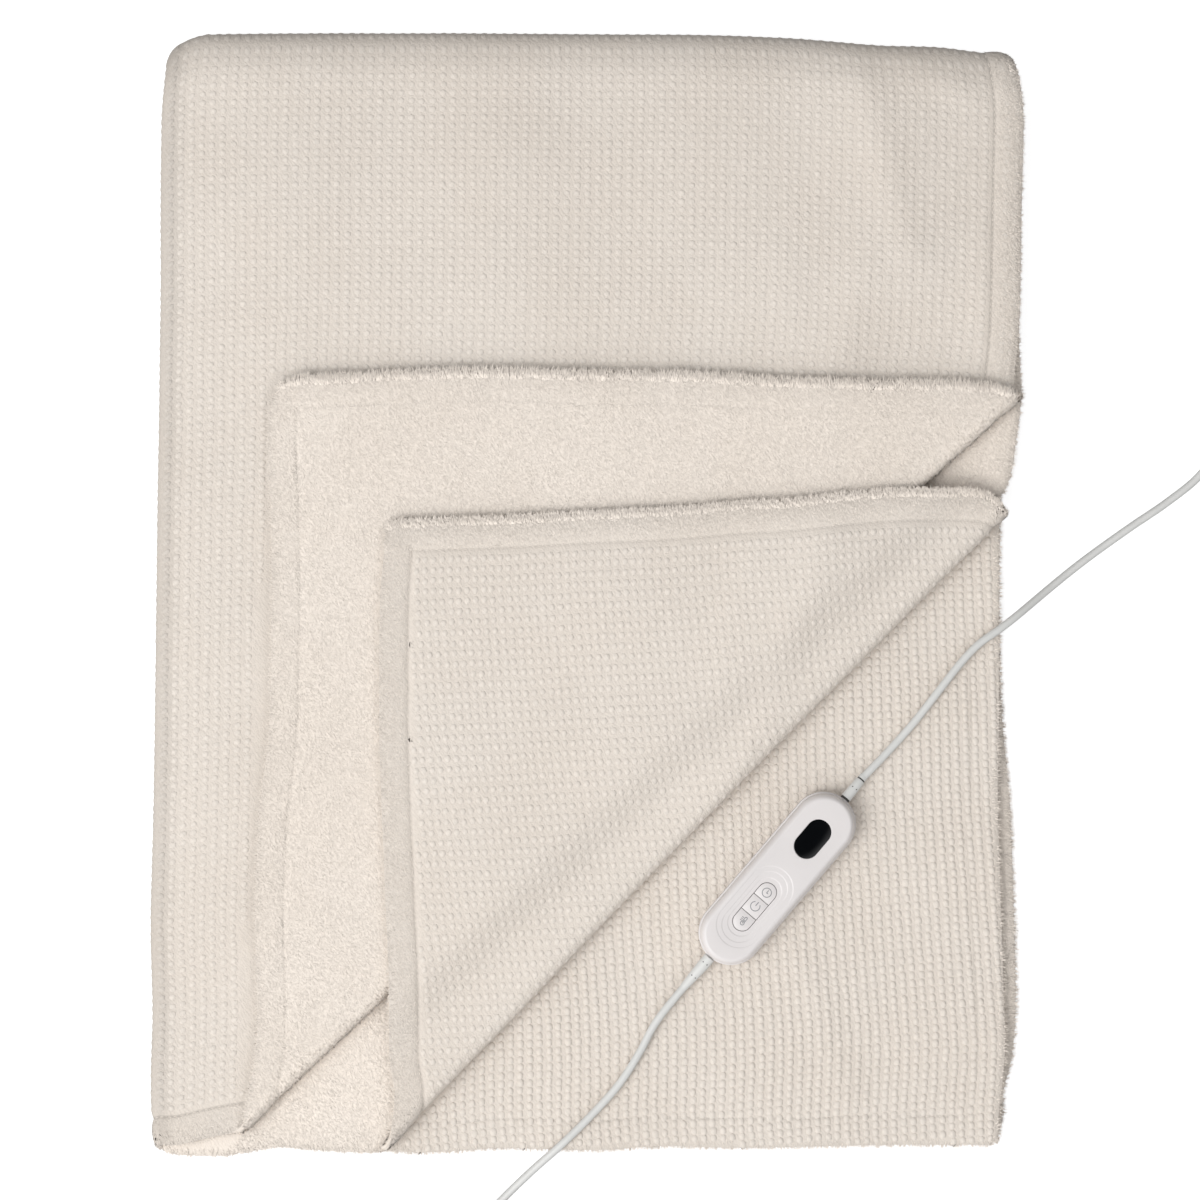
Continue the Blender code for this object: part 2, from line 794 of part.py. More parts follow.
def build_shells(parent, material):
    lower = stadium_solid(
        CONTROLLER_LENGTH,
        CONTROLLER_WIDTH,
        rounded_sections(0.0, LOWER_SHELL_TOP, LOWER_ROUND, 0.0),
    )
    make_object("controller_lower_shell", lower, material, parent)
    upper = stadium_solid(
        CONTROLLER_LENGTH,
        CONTROLLER_WIDTH,
        rounded_sections(UPPER_SHELL_BASE, CONTROLLER_HEIGHT, 0.0, UPPER_ROUND),
    )
    shell = make_object("controller_upper_shell", upper, material, parent)
    above = CONTROLLER_HEIGHT + CUT_ABOVE
    for k, step in enumerate(DISH):
        floor = CONTROLLER_HEIGHT - DISH_STEP * (k + 1)
        dish = stadium_solid(
            step["length"], step["width"], ((floor, 0.0), (above, 0.0)), KEYS_U
        )
        add_cut(shell, f"cut_dish_{k}", dish, parent)
    well = stadium_solid(
        KEYS_LENGTH + 2 * KEY_GAP,
        KEYS_WIDTH + 2 * KEY_GAP,
        ((KEY_WELL_FLOOR, 0.0), (above, 0.0)),
        KEYS_U,
    )
    add_cut(shell, "cut_key_well", well, parent)
    window = stadium_solid(
        DISPLAY_LENGTH,
        DISPLAY_WIDTH,
        ((CONTROLLER_HEIGHT - DISPLAY_DEPTH, 0.0), (above, 0.0)),
        DISPLAY_U,
    )
    add_cut(shell, "cut_display", window, parent)


def build_display(parent, material):
    floor = CONTROLLER_HEIGHT - DISPLAY_DEPTH + TOUCH_GAP
    glass = stadium_solid(
        DISPLAY_LENGTH - 2 * TOUCH_GAP,
        DISPLAY_WIDTH - 2 * TOUCH_GAP,
        ((floor, 0.0), (floor + DISPLAY_THICK, 0.0)),
        DISPLAY_U,
    )
    make_object("display_window", glass, material, parent)


def trim_end(bm, place, direction):
    """Cut a solid across at a place on x, and close the cut."""
    cut_parts = bmesh.ops.bisect_plane(
        bm,
        geom=bm.verts[:] + bm.edges[:] + bm.faces[:],
        plane_co=(place, 0.0, 0.0),
        plane_no=(direction, 0.0, 0.0),
        clear_outer=True,
    )["geom_cut"]
    rim = [part for part in cut_parts if isinstance(part, bmesh.types.BMEdge)]
    bmesh.ops.edgenet_fill(bm, edges=rim)


def build_keys(parent, material):
    """Three keys cut from one stadium, a gap apart."""
    sections = ((KEY_TOP - KEY_HEIGHT, 0.0), (KEY_TOP, 0.0))
    for name, (low, high) in KEYS.items():
        bm = stadium_solid(KEYS_LENGTH, KEYS_WIDTH, sections, KEYS_U)
        if low > -KEYS_LENGTH / 2:
            trim_end(bm, KEYS_U + low + KEY_GAP / 2, -1.0)
        if high < KEYS_LENGTH / 2:
            trim_end(bm, KEYS_U + high - KEY_GAP / 2, 1.0)
        make_object(name, bm, material, parent)


def build_controller(shell_material, display_material):
    frame = bpy.data.objects.new("controller_frame", None)
    bpy.context.collection.objects.link(frame)
    frame.location = (CONTROLLER_X, CONTROLLER_Y, CONTROLLER_Z)
    frame.rotation_euler = (0.0, 0.0, CONTROLLER_TURN)
    build_shells(frame, shell_material)
    build_display(frame, display_material)
    build_keys(frame, shell_material)


# --- The leads -------------------------------------------------------------------


def relief_ends(which):
    """Both ends of a strain relief's middle line."""
    sign = 1.0 if which == "upper" else -1.0
    along = Vector((math.cos(CONTROLLER_TURN), math.sin(CONTROLLER_TURN), 0.0)) * sign
    middle = Vector((CONTROLLER_X, CONTROLLER_Y, RELIEF_Z))
    start = middle + along * (CONTROLLER_LENGTH / 2 + RELIEF_GAP)
    end = start + along * RELIEF_LENGTH[which]
    end.z -= RELIEF_DROP
    return start, end


def rod_between(start, end, radius_start, radius_end, sides):
    """A round rod, or a tapered one, from one point to another."""
    bm = bmesh.new()
    line = end - start
    bmesh.ops.create_cone(
        bm,
        cap_ends=True,
        segments=sides,
        radius1=radius_start,
        radius2=radius_end,
        depth=line.length,
    )
    turn = Vector((0.0, 0.0, 1.0)).rotation_difference(line).to_matrix()
    bmesh.ops.rotate(bm, cent=(0.0, 0.0, 0.0), matrix=turn, verts=bm.verts[:])
    bmesh.ops.translate(bm, vec=(start + end) / 2, verts=bm.verts[:])
    return bm


def build_reliefs(material):
    for which in ("upper", "lower"):
        start, end = relief_ends(which)
        bm = rod_between(start, end, RELIEF_BASE_RADIUS, RELIEF_END_RADIUS, RELIEF_SIDES)
        make_object(f"strain_relief_{which}", bm, material)


def smooth_route(points):
    """Evenly spaced points on a smooth curve through the route's own points."""
    rows = np.array(points)
    ends = np.vstack((2 * rows[0] - rows[1], rows, 2 * rows[-1] - rows[-2]))
    fine = []
    for k in range(len(rows) - 1):
        p0, p1, p2, p3 = ends[k : k + 4]
        for t in np.linspace(0.0, 1.0, ROUTE_FINE_STEPS, endpoint=False):
            fine.append(
                0.5
                * (
                    2 * p1
                    + (p2 - p0) * t
                    + (2 * p0 - 5 * p1 + 4 * p2 - p3) * t**2
                    + (3 * p1 - p0 - 3 * p2 + p3) * t**3
                )
            )
    fine = np.array(fine + [rows[-1]])
    lengths = np.linalg.norm(np.diff(fine, axis=0), axis=1)
    distance = np.concatenate(([0.0], np.cumsum(lengths)))
    count = round(distance[-1] / CORD_POINT_STEP) + 1
    places = np.linspace(0.0, distance[-1], count)
    return np.column_stack([np.interp(places, distance, fine[:, k]) for k in range(3)])


def make_lead(name, points, material):
    """A round cord along a route."""
    route = smooth_route(points)
    curve = bpy.data.curves.new(name, "CURVE")
    curve.dimensions = "3D"
    curve.bevel_depth = CORD_RADIUS
    curve.bevel_resolution = 3
    curve.use_fill_caps = True
    spline = curve.splines.new("POLY")
    spline.points.add(len(route) - 1)
    for point, place in zip(spline.points, route):
        point.co = (*place, 1.0)
    curve.materials.append(material)
    bpy.context.collection.objects.link(bpy.data.objects.new(name, curve))


def build_leads(material):
    for name, which, route in (
        ("lead_blanket_side", "upper", BLANKET_LEAD),
        ("lead_mains", "lower", MAINS_LEAD),
    ):
        start, end = relief_ends(which)
        first = end + (end - start).normalized() * TOUCH_GAP
        make_lead(name, [tuple(first), *route], material)


def build_coil(material):
    """The wound lead as one turned ring, and the tie around it."""
    bm = bmesh.new()
    low, high = COIL_BASE, COIL_BASE + COIL_HEIGHT
    inner = COIL_MIDDLE_RADIUS - COIL_WIDTH / 2
    outer = COIL_MIDDLE_RADIUS + COIL_WIDTH / 2
    outline = (
        (inner, low + COIL_BLUNT),
        (inner + COIL_BLUNT, low),
        (outer - COIL_BLUNT, low),
        (outer, low + COIL_BLUNT),
        (outer, high - COIL_BLUNT),
        (outer - COIL_BLUNT, high),
        (inner + COIL_BLUNT, high),
        (inner, high - COIL_BLUNT),
    )
    verts = [bm.verts.new((COIL_X + radius, COIL_Y, z)) for radius, z in outline]
    edges = [bm.edges.new((a, b)) for a, b in zip(verts, verts[1:] + verts[:1])]
    bmesh.ops.spin(
        bm,
        geom=verts + edges,
        cent=(COIL_X, COIL_Y, 0.0),
        axis=(0.0, 0.0, 1.0),
        angle=math.tau,
        steps=COIL_STEPS,
        use_merge=True,
    )
    make_object("mains_coil", bm, material)


def box(size, middle):
    bm = bmesh.new()
    bmesh.ops.create_cube(bm, size=1.0)
    bmesh.ops.scale(bm, vec=size, verts=bm.verts[:])
    bmesh.ops.translate(bm, vec=middle, verts=bm.verts[:])
    return bm


def build_tie(material):
    """A flat strap right round the coil's section."""
    frame = bpy.data.objects.new("tie_frame", None)
    bpy.context.collection.objects.link(frame)
    frame.location = (COIL_X, COIL_Y, 0.0)
    frame.rotation_euler = (0.0, 0.0, TIE_ANGLE)
    hole_width = COIL_WIDTH + 2 * TIE_SLACK
    hole_height = COIL_HEIGHT + 2 * TOUCH_GAP
    middle = (COIL_MIDDLE_RADIUS, 0.0, TIE_THICK + hole_height / 2)
    strap_size = (hole_width + 2 * TIE_THICK, TIE_WIDTH, hole_height + 2 * TIE_THICK)
    strap = make_object("coil_tie", box(strap_size, middle), material, frame)
    hole = box((hole_width, 2 * TIE_WIDTH, hole_height), middle)
    add_cut(strap, "cut_tie", hole, frame)


def plug_tail_points():
    """From the coil's outer edge to the back of the plug."""
    leave_x = COIL_X + COIL_OUTER_LINE * math.cos(COIL_EXIT_ANGLE)
    leave_y = COIL_Y + COIL_OUTER_LINE * math.sin(COIL_EXIT_ANGLE)
    top_z = COIL_BASE + COIL_HEIGHT - CORD_RADIUS
    plug_back = leave_x + PLUG_TAIL
    return (
        (leave_x + COIL_CLEAR, leave_y, top_z),
        (leave_x + (COIL_CLEAR + PLUG_TAIL) / 2, leave_y, (top_z + PLUG_THICK / 2) / 2),
        (plug_back - TOUCH_GAP, leave_y, PLUG_THICK / 2),
    )


def tapered_body(name, width, neck, length, thick, rounding, place, turn, material):
    """A moulded body, wide at its pins and narrow at its cord: its back is at the
    place and its pins point along x, before it is turned."""
    bm = bmesh.new()
    outline = (
        (0.0, -neck / 2),
        (length * NECK_END, -neck / 2),
        (length * WIDE_FROM, -width / 2),
        (length, -width / 2),
        (length, width / 2),
        (length * WIDE_FROM, width / 2),
        (length * NECK_END, neck / 2),
        (0.0, neck / 2),
    )
    face = bm.faces.new([bm.verts.new((x, y, -thick / 2)) for x, y in outline])
    grown = bmesh.ops.extrude_face_region(bm, geom=[face])["geom"]
    verts = [part for part in grown if isinstance(part, bmesh.types.BMVert)]
    bmesh.ops.translate(bm, vec=(0.0, 0.0, thick), verts=verts)
    body = make_object(name, bm, material)
    body.location = place
    body.rotation_euler = (0.0, 0.0, turn)
    bevel = body.modifiers.new("rounding", "BEVEL")
    bevel.width = rounding
    bevel.segments = 3
    bevel.angle_limit = math.radians(40)
    return body


def build_pins(name, body, length, spacing, radius, reach, material):
    """Two round pins on the front of a moulded body."""
    for label, side in (("a", 0.5), ("b", -0.5)):
        start = Vector((length + TOUCH_GAP, side * spacing, 0.0))
        end = start + Vector((reach, 0.0, 0.0))
        bm = rod_between(start, end, radius, radius, PIN_SIDES)
        make_object(f"{name}_{label}", bm, material, body)


def build_plug(cord_material, pin_material):
    points = plug_tail_points()
    make_lead("lead_plug_end", points, cord_material)
    back = (points[-1][0] + TOUCH_GAP, points[-1][1], PLUG_THICK / 2)
    body = tapered_body(
        "plug_body",
        PLUG_WIDTH,
        PLUG_NECK,
        PLUG_LENGTH,
        PLUG_THICK,
        PLUG_ROUND,
        back,
        0.0,
        cord_material,
    )
    build_pins(
        "plug_pin", body, PLUG_LENGTH, PIN_SPACING, PIN_RADIUS, PIN_LENGTH, pin_material
    )


def build_connector(cord_material, pin_material):
    x, y, z = BLANKET_LEAD[-1]
    body = tapered_body(
        "connector",
        CONNECTOR_WIDTH,
        CONNECTOR_NECK,
        CONNECTOR_LENGTH,
        CONNECTOR_THICK,
        CONNECTOR_ROUND,
        (x, y + TOUCH_GAP, z),
        math.pi / 2,
        cord_material,
    )
    build_pins(
        "connector_pin",
        body,
        CONNECTOR_LENGTH,
        CONNECTOR_PIN_SPACING,
        CONNECTOR_PIN_RADIUS,
        CONNECTOR_PIN_LENGTH,
        pin_material,
    )


def main():
    clear_scene()
    fleece = make_material("cream_fleece", CREAM, 0.95)
    shell = make_material("white_shell", SHELL_WHITE, 0.42)
    cord = make_material("white_cord", CORD_WHITE, 0.48)
    display = make_material("black_display", DISPLAY_BLACK, 0.08)
    metal = make_material("pin_metal", PIN_METAL, 0.28, 1.0)
    build_blanket(fleece)
    build_controller(shell, display)
    build_reliefs(cord)
    build_leads(cord)
    build_coil(cord)
    build_tie(cord)
    build_plug(cord, metal)
    build_connector(cord, metal)


main()
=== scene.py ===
# %% [markdown]
# # An electric heated blanket, folded in quarters
# The real thing is one double-faced throw: small raised nubs in ribs on one face, sherpa pile
# on the other, with a hem sewn all round. A hand controller lies on it, one lead goes on to
# the blanket and one to the wall. The solids of the frame give every place and size. They
# could simply be painted, but cloth lives by its surface, so each piece is built again here,
# finer and in the same place.

# %% Load the frame
import math

import bmesh
import bpy
import numpy as np
from mathutils import Matrix, Vector
from mathutils.bvhtree import BVHTree


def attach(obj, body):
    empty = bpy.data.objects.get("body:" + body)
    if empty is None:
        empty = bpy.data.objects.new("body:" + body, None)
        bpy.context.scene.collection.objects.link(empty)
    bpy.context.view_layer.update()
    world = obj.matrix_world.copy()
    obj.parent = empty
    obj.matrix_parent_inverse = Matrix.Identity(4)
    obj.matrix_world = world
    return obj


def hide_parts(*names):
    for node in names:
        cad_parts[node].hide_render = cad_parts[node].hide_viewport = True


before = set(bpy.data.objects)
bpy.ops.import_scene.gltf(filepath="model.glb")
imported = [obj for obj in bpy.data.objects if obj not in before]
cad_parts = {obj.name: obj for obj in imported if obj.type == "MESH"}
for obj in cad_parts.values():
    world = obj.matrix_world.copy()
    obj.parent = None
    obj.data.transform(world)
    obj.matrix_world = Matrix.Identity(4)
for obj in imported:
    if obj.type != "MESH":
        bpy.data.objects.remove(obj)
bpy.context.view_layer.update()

BODY = "blanket"

# %% [markdown]
# ## The camera
# The picture was taken from straight above, with +Y up in it. A long lens from far off keeps
# the layers' sides out of sight, as there. The scale, 0.70 mm to a pixel, holds at the height
# of the cloth's top.

# %% Camera
METRES_PER_PIXEL, PICTURE_PIXELS = 0.0007, 1200
VIEW_MIDDLE, VIEW_HEIGHT = (0.0091, -0.0049), 0.020
LENS, SENSOR = 103.0, 36.0

camera_data = bpy.data.cameras.new("camera_above")
camera_data.lens, camera_data.sensor_width = LENS, SENSOR
camera_distance = PICTURE_PIXELS * METRES_PER_PIXEL * LENS / SENSOR
camera = bpy.data.objects.new("camera_above", camera_data)
camera.location = (*VIEW_MIDDLE, VIEW_HEIGHT + camera_distance)
bpy.context.collection.objects.link(camera)
bpy.context.scene.camera = camera
print("camera", round(camera_distance, 3), "m above the cloth")

# %% [markdown]
# ## Helpers for pieces
# A finished piece is a mesh whose object sits at the origin, so its place is in its points.
# Every piece rides on a body of the frame.


# %% Helpers for pieces
def show(thing, body=BODY, stands_for=()):
    """Put a finished object into the scene, on its body."""
    bpy.context.collection.objects.link(thing)
    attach(thing, body)
    if stands_for:
        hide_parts(*stands_for)
    return thing


def make_piece(name, bm, materials, slot, body=BODY, stands_for=(), smooth_angle=40.0):
    """Turn a bmesh into a shown object, shaded smooth but for its sharp edges."""
    bmesh.ops.recalc_face_normals(bm, faces=bm.faces[:])
    mesh = bpy.data.meshes.new(name)
    bm.to_mesh(mesh)
    bm.free()
    for material in materials:
        mesh.materials.append(material)
    mesh.shade_smooth()
    mesh.set_sharp_from_angle(angle=math.radians(smooth_angle))
    print(name, len(mesh.polygons), "faces")
    return show(bpy.data.objects.new(name, mesh), body, stands_for)


def place_bm(bm, place, turn):
    """Turn a bmesh about z, then move it."""
    matrix = Matrix.Translation(place) @ Matrix.Rotation(turn, 4, "Z")
    bmesh.ops.transform(bm, matrix=matrix, verts=bm.verts[:])
    return bm


def smooth(value, low, high):
    """0 below low, 1 above high, and a smooth rise between them."""
    share = np.clip((value - low) / (high - low), 0.0, 1.0)
    return share * share * (3.0 - 2.0 * share)


# %% [markdown]
# ## Shared shader effects
# Moulded plastic, cord and cloth all vary a little in tone, and each has a grain that catches
# the light. Both could be painted in each material, but one node group with its own inputs
# keeps them alike: it mixes two tones by a soft noise, and bumps the surface by a fine one.


# %% Node groups
def add_node(tree, kind, inputs=(), **settings):
    """A node with its settings, and a value or a link for each of the inputs given."""
    node = tree.nodes.new(kind)
    for key, value in settings.items():
        setattr(node, key, value)
    for key, value in dict(inputs).items():
        if isinstance(value, bpy.types.NodeSocket):
            tree.links.new(value, node.inputs[key])
        else:
            node.inputs[key].default_value = value
    return node


def add_noise(tree, vector, scale, detail):
    """A noise over the piece's own coordinates: scale is in waves to the metre."""
    inputs = {"Vector": vector, "Scale": scale, "Detail": detail}
    return add_node(tree, "ShaderNodeTexNoise", inputs).outputs["Fac"]


def make_surface_group():
    """Two tones mixed by a broad noise, and a bump from a fine one."""
    group = bpy.data.node_groups.new("tone_and_grain", "ShaderNodeTree")
    color, number = "NodeSocketColor", "NodeSocketFloat"
    for name in ("Light tone", "Deep tone"):
        group.interface.new_socket(name, in_out="INPUT", socket_type=color)
    for name in ("Tone scale", "Grain scale", "Grain height"):
        group.interface.new_socket(name, in_out="INPUT", socket_type=number)
    group.interface.new_socket("Color", in_out="OUTPUT", socket_type=color)
    group.interface.new_socket("Normal", in_out="OUTPUT", socket_type="NodeSocketVector")
    given = add_node(group, "NodeGroupInput").outputs
    place = add_node(group, "ShaderNodeTexCoord").outputs["Object"]
    limits = {"From Min": 0.36, "From Max": 0.64}
    broad = {"Value": add_noise(group, place, given["Tone scale"], 3.0), **limits}
    share = add_node(group, "ShaderNodeMapRange", broad, interpolation_type="SMOOTHSTEP")
    tones = {"Factor": share.outputs["Result"], "A": given["Deep tone"], "B": given["Light tone"]}
    mix = add_node(group, "ShaderNodeMix", tones, data_type="RGBA")
    fine = add_noise(group, place, given["Grain scale"], 4.0)
    relief = {"Strength": 1.0, "Height": fine, "Distance": given["Grain height"]}
    bump = add_node(group, "ShaderNodeBump", relief)
    results = {"Color": mix.outputs["Result"], "Normal": bump.outputs["Normal"]}
    add_node(group, "NodeGroupOutput", results)
    return group


surface_group = make_surface_group()


def surface_material(name, light, deep, tone_scale, grain_scale, grain_height, roughness, **sockets):
    """A material with the shared effect, and its constant values on the shader itself."""
    material = bpy.data.materials.new(name)
    material.use_nodes = True
    tree = material.node_tree
    shader = tree.nodes["Principled BSDF"]
    shader.inputs["Roughness"].default_value = roughness
    for key, value in sockets.items():
        shader.inputs[key.replace("_", " ")].default_value = value
    inputs = {"Light tone": (*light, 1.0), "Deep tone": (*deep, 1.0), "Tone scale": tone_scale}
    inputs |= {"Grain scale": grain_scale, "Grain height": grain_height}
    effect = add_node(tree, "ShaderNodeGroup", inputs, node_tree=surface_group)
    tree.links.new(effect.outputs["Color"], shader.inputs["Base Color"])
    tree.links.new(effect.outputs["Normal"], shader.inputs["Normal"])
    return material


# %% [markdown]
# ## Plastics and metal
# The controller's shells are satin moulded plastic in a warm white, the cords a greyer and
# softer one. The display is glossy black, the plug's pins are nickel-plated. Fine grain with
# hardly any height keeps the plastic from looking like paper.

# %% Plastics and metal
# Light tone, deep tone, tone scale, grain scale, grain height, roughness
shell_white = surface_material(
    "shell_white", (0.715, 0.682, 0.675), (0.695, 0.664, 0.657), 30.0, 2600.0, 0.00001, 0.38,
)
cord_white = surface_material(
    "cord_white", (0.660, 0.660, 0.644), (0.630, 0.632, 0.616), 45.0, 1400.0, 0.00002, 0.44,
)
display_black = surface_material(
    "display_black", (0.0020, 0.0025, 0.0032), (0.0012, 0.0016, 0.0022), 60.0, 600.0, 0.000002,
    0.07, Coat_Weight=0.4,
)
print_grey = surface_material(
    "print_grey", (0.30, 0.30, 0.31), (0.25, 0.25, 0.26), 300.0, 3000.0, 0.000005, 0.55,
)
# Painted shade: a dark material for the strain reliefs' grooves and pits
gap_painted_shade = surface_material(
    "gap_painted_shade", (0.055, 0.052, 0.050), (0.035, 0.033, 0.032), 300.0, 3000.0, 0.000005, 0.7,
)
pin_nickel = surface_material(
    "pin_nickel", (0.72, 0.70, 0.66), (0.62, 0.60, 0.57), 120.0, 2500.0, 0.000008, 0.26,
    Metallic=1.0,
)

# %% [markdown]
# ## The leads
# A lead is a fixed length of something bendy. Each leaves the controller through its strain
# relief, comes down onto the cloth, and slides off its edge onto the floor. The points of the
# routes were chosen, and one smooth curve goes through them.

# %% Routes of the leads
CLOTH = 0.007
LAYER_STEP = CLOTH + 0.001
TOUCH_GAP = 0.0003
CLOTH_TOP = LAYER_STEP + CLOTH
CORD_RADIUS = 0.00275
ON_CLOTH = CLOTH_TOP + TOUCH_GAP + CORD_RADIUS
ON_FLOOR = CORD_RADIUS

CONTROLLER_PLACE = Vector((0.1330, -0.1995, CLOTH_TOP + TOUCH_GAP))
CONTROLLER_TURN = math.radians(49.5)
CONTROLLER_LENGTH, CONTROLLER_WIDTH = 0.145, 0.045
RELIEF_LENGTH = {"upper": 0.0180, "lower": 0.0250}
RELIEF_GAP, RELIEF_Z, RELIEF_DROP = 0.0009, 0.0225, 0.0026

BLANKET_LEAD = (
    (0.2093, -0.1127, 0.0184), (0.2282, -0.0917, ON_CLOTH), (0.2464, -0.0686, ON_CLOTH),
    (0.2618, -0.0490, ON_CLOTH), (0.2745, -0.0357, ON_CLOTH), (0.2885, -0.0258, 0.0172),
    (0.2996, -0.0175, 0.0153), (0.3101, -0.0091, 0.0119), (0.3250, 0.0030, 0.0072),
    (0.3420, 0.0165, 0.0038), (0.3600, 0.0300, ON_FLOOR), (0.3840, 0.0470, ON_FLOOR),
    (0.4090, 0.0640, ON_FLOOR), (0.4320, 0.0830, ON_FLOOR), (0.4490, 0.1080, ON_FLOOR),
    (0.4550, 0.1380, ON_FLOOR), (0.4552, 0.1650, 0.0040), (0.4550, 0.1900, 0.0055),
)
MAINS_LEAD = (
    (0.0490, -0.2996, 0.0183), (0.0364, -0.3227, ON_CLOTH), (0.0217, -0.3451, ON_CLOTH),
    (0.0014, -0.3675, ON_CLOTH), (-0.0182, -0.3868, 0.0174), (-0.0357, -0.4030, 0.0123),
    (-0.0500, -0.4172, 0.0067), (-0.0645, -0.4320, 0.0040),
)


def relief_ends(which):
    """Both ends of a strain relief's middle line."""
    sign = 1.0 if which == "upper" else -1.0
    along = Vector((math.cos(CONTROLLER_TURN), math.sin(CONTROLLER_TURN), 0.0)) * sign
    middle = Vector((*CONTROLLER_PLACE.xy, RELIEF_Z))
    start = middle + along * (CONTROLLER_LENGTH / 2 + RELIEF_GAP)
    end = start + along * RELIEF_LENGTH[which]
    end.z -= RELIEF_DROP
    return start, end


# %% [markdown]
# ## The coil
# The length that the picture doesn't show is put away as one would: wound flat and tied. A
# plain spiral would run into itself where it starts its second layer. So all turns keep their
# column, and shift to the next one together at one place: inwards on the floor, a climb, then
# outwards on top.

# %% The coil's turns
COIL_MIDDLE_RADIUS, COIL_BASE = 0.0330, 0.0008
COIL_ENTRY, COIL_ENTRY_ANGLE = (-0.0810, -0.4485), math.radians(135.0)
COIL_TURNS, STEPS_PER_TURN, LAST_COLUMN = 7.375, 24, 3
COIL_OUTER_LINE = COIL_MIDDLE_RADIUS + 3 * CORD_RADIUS
COIL_X = COIL_ENTRY[0] - COIL_OUTER_LINE * math.cos(COIL_ENTRY_ANGLE)
COIL_Y = COIL_ENTRY[1] - COIL_OUTER_LINE * math.sin(COIL_ENTRY_ANGLE)
# Shares of a turn between which the upper turns shift, the lead climbs, the lower turns shift
SHIFT_UPPER, CLIMB, SHIFT_LOWER = (0.50, 0.66), (0.66, 0.83), (0.83, 1.0)
PLUG_TAIL, PLUG_THICK, COIL_CLEAR = 0.0550, 0.0137, 0.0225


def coil_points():
    points = []
    steps = round(COIL_TURNS * STEPS_PER_TURN)
    for k in range(steps + 1):
        turned = COIL_TURNS * k / steps
        turn, share = int(turned), turned - int(turned)
        if turn < LAST_COLUMN:
            column, layer = turn + smooth(share, *SHIFT_LOWER), 0.0
        elif turn == LAST_COLUMN:
            column, layer = LAST_COLUMN, smooth(share, *CLIMB)
        else:
            column, layer = 2 * LAST_COLUMN + 1 - turn - smooth(share, *SHIFT_UPPER), 1.0
        radius = COIL_OUTER_LINE - 2 * CORD_RADIUS * column
        angle = COIL_ENTRY_ANGLE + math.tau * turned
        height = COIL_BASE + CORD_RADIUS * (1 + 2 * layer)
        points.append((COIL_X + radius * math.cos(angle), COIL_Y + radius * math.sin(angle), height))
    return points


def plug_tail_points(leave):
    """From the coil's outer edge to the back of the plug."""
    x, y, z = leave
    middle = (x + (COIL_CLEAR + PLUG_TAIL) / 2, y, (z + PLUG_THICK / 2) / 2)
    return [(x + COIL_CLEAR, y, z), middle, (x + PLUG_TAIL, y, PLUG_THICK / 2)]


wound = coil_points()
tail = plug_tail_points(wound[-1])
print("coil:", len(wound), "points, plug at", [round(value, 4) for value in tail[-1]])

# %% [markdown]
# ## Making a lead
# Blender's curve with a round bevel is the plainest tube. Its points are read off a
# Catmull-Rom curve, evenly spaced, so that bends are round and the sides don't bunch up.

# %% Make the leads
CORD_POINT_STEP, ROUTE_FINE_STEPS = 0.004, 12


def smooth_route(points):
    """Evenly spaced points on a smooth curve through the route's own points."""
    rows = np.array(points, float)
    ends = np.vstack((2 * rows[0] - rows[1], rows, 2 * rows[-1] - rows[-2]))
    p0, p1, p2, p3 = ends[:-3], ends[1:-2], ends[2:-1], ends[3:]
    fine = []
    for t in np.linspace(0.0, 1.0, ROUTE_FINE_STEPS, endpoint=False):
        square, cube = (2 * p0 - 5 * p1 + 4 * p2 - p3) * t**2, (3 * p1 - p0 - 3 * p2 + p3) * t**3
        fine.append(0.5 * (2 * p1 + (p2 - p0) * t + square + cube))
    fine = np.vstack((np.stack(fine, axis=1).reshape(-1, 3), rows[-1]))
    distance = np.concatenate(([0.0], np.cumsum(np.linalg.norm(np.diff(fine, axis=0), axis=1))))
    places = np.linspace(0.0, distance[-1], round(distance[-1] / CORD_POINT_STEP) + 1)
    return np.column_stack([np.interp(places, distance, fine[:, k]) for k in range(3)])


def make_lead(name, which, route, stands_for):
    """A round lead that starts inside the far end of its strain relief."""
    start, end = relief_ends(which)
    path = smooth_route([tuple(end - (end - start) * 0.1), tuple(end), *route])
    curve = bpy.data.curves.new(name, "CURVE")
    curve.dimensions = "3D"
    curve.bevel_depth, curve.bevel_resolution, curve.use_fill_caps = CORD_RADIUS, 4, True
    spline = curve.splines.new("POLY")
    spline.points.add(len(path) - 1)
    spline.points.foreach_set("co", np.column_stack((path, np.ones(len(path)))).ravel())
    spline.use_smooth = True
    curve.materials.append(cord_white)
    length = np.linalg.norm(np.diff(path, axis=0), axis=1).sum()
    print(name, "is", round(float(length), 3), "m long")
    return show(bpy.data.objects.new(name, curve), stands_for=stands_for)


blanket_lead = make_lead("blanket_lead", "upper", BLANKET_LEAD, ["lead_blanket_side"])
mains_lead = make_lead(
    "mains_lead", "lower", [*MAINS_LEAD, *wound, *tail],
    ["lead_mains", "mains_coil", "lead_plug_end"],
)

# %% [markdown]
# ## Strain reliefs
# Each is a soft sleeve that stops the lead from kinking at the housing, with a groove at its
# ends and small moulded pits on top, both coloured dark as painted shade. A profile spun round
# its own axis makes the sleeve, and the grooves are real steps in that profile.

# %% Strain reliefs
RELIEF_STEPS = 32
PIT_RADIUS, PIT_DEPTH, PIT_SIDES = 0.00042, 0.0004, 12
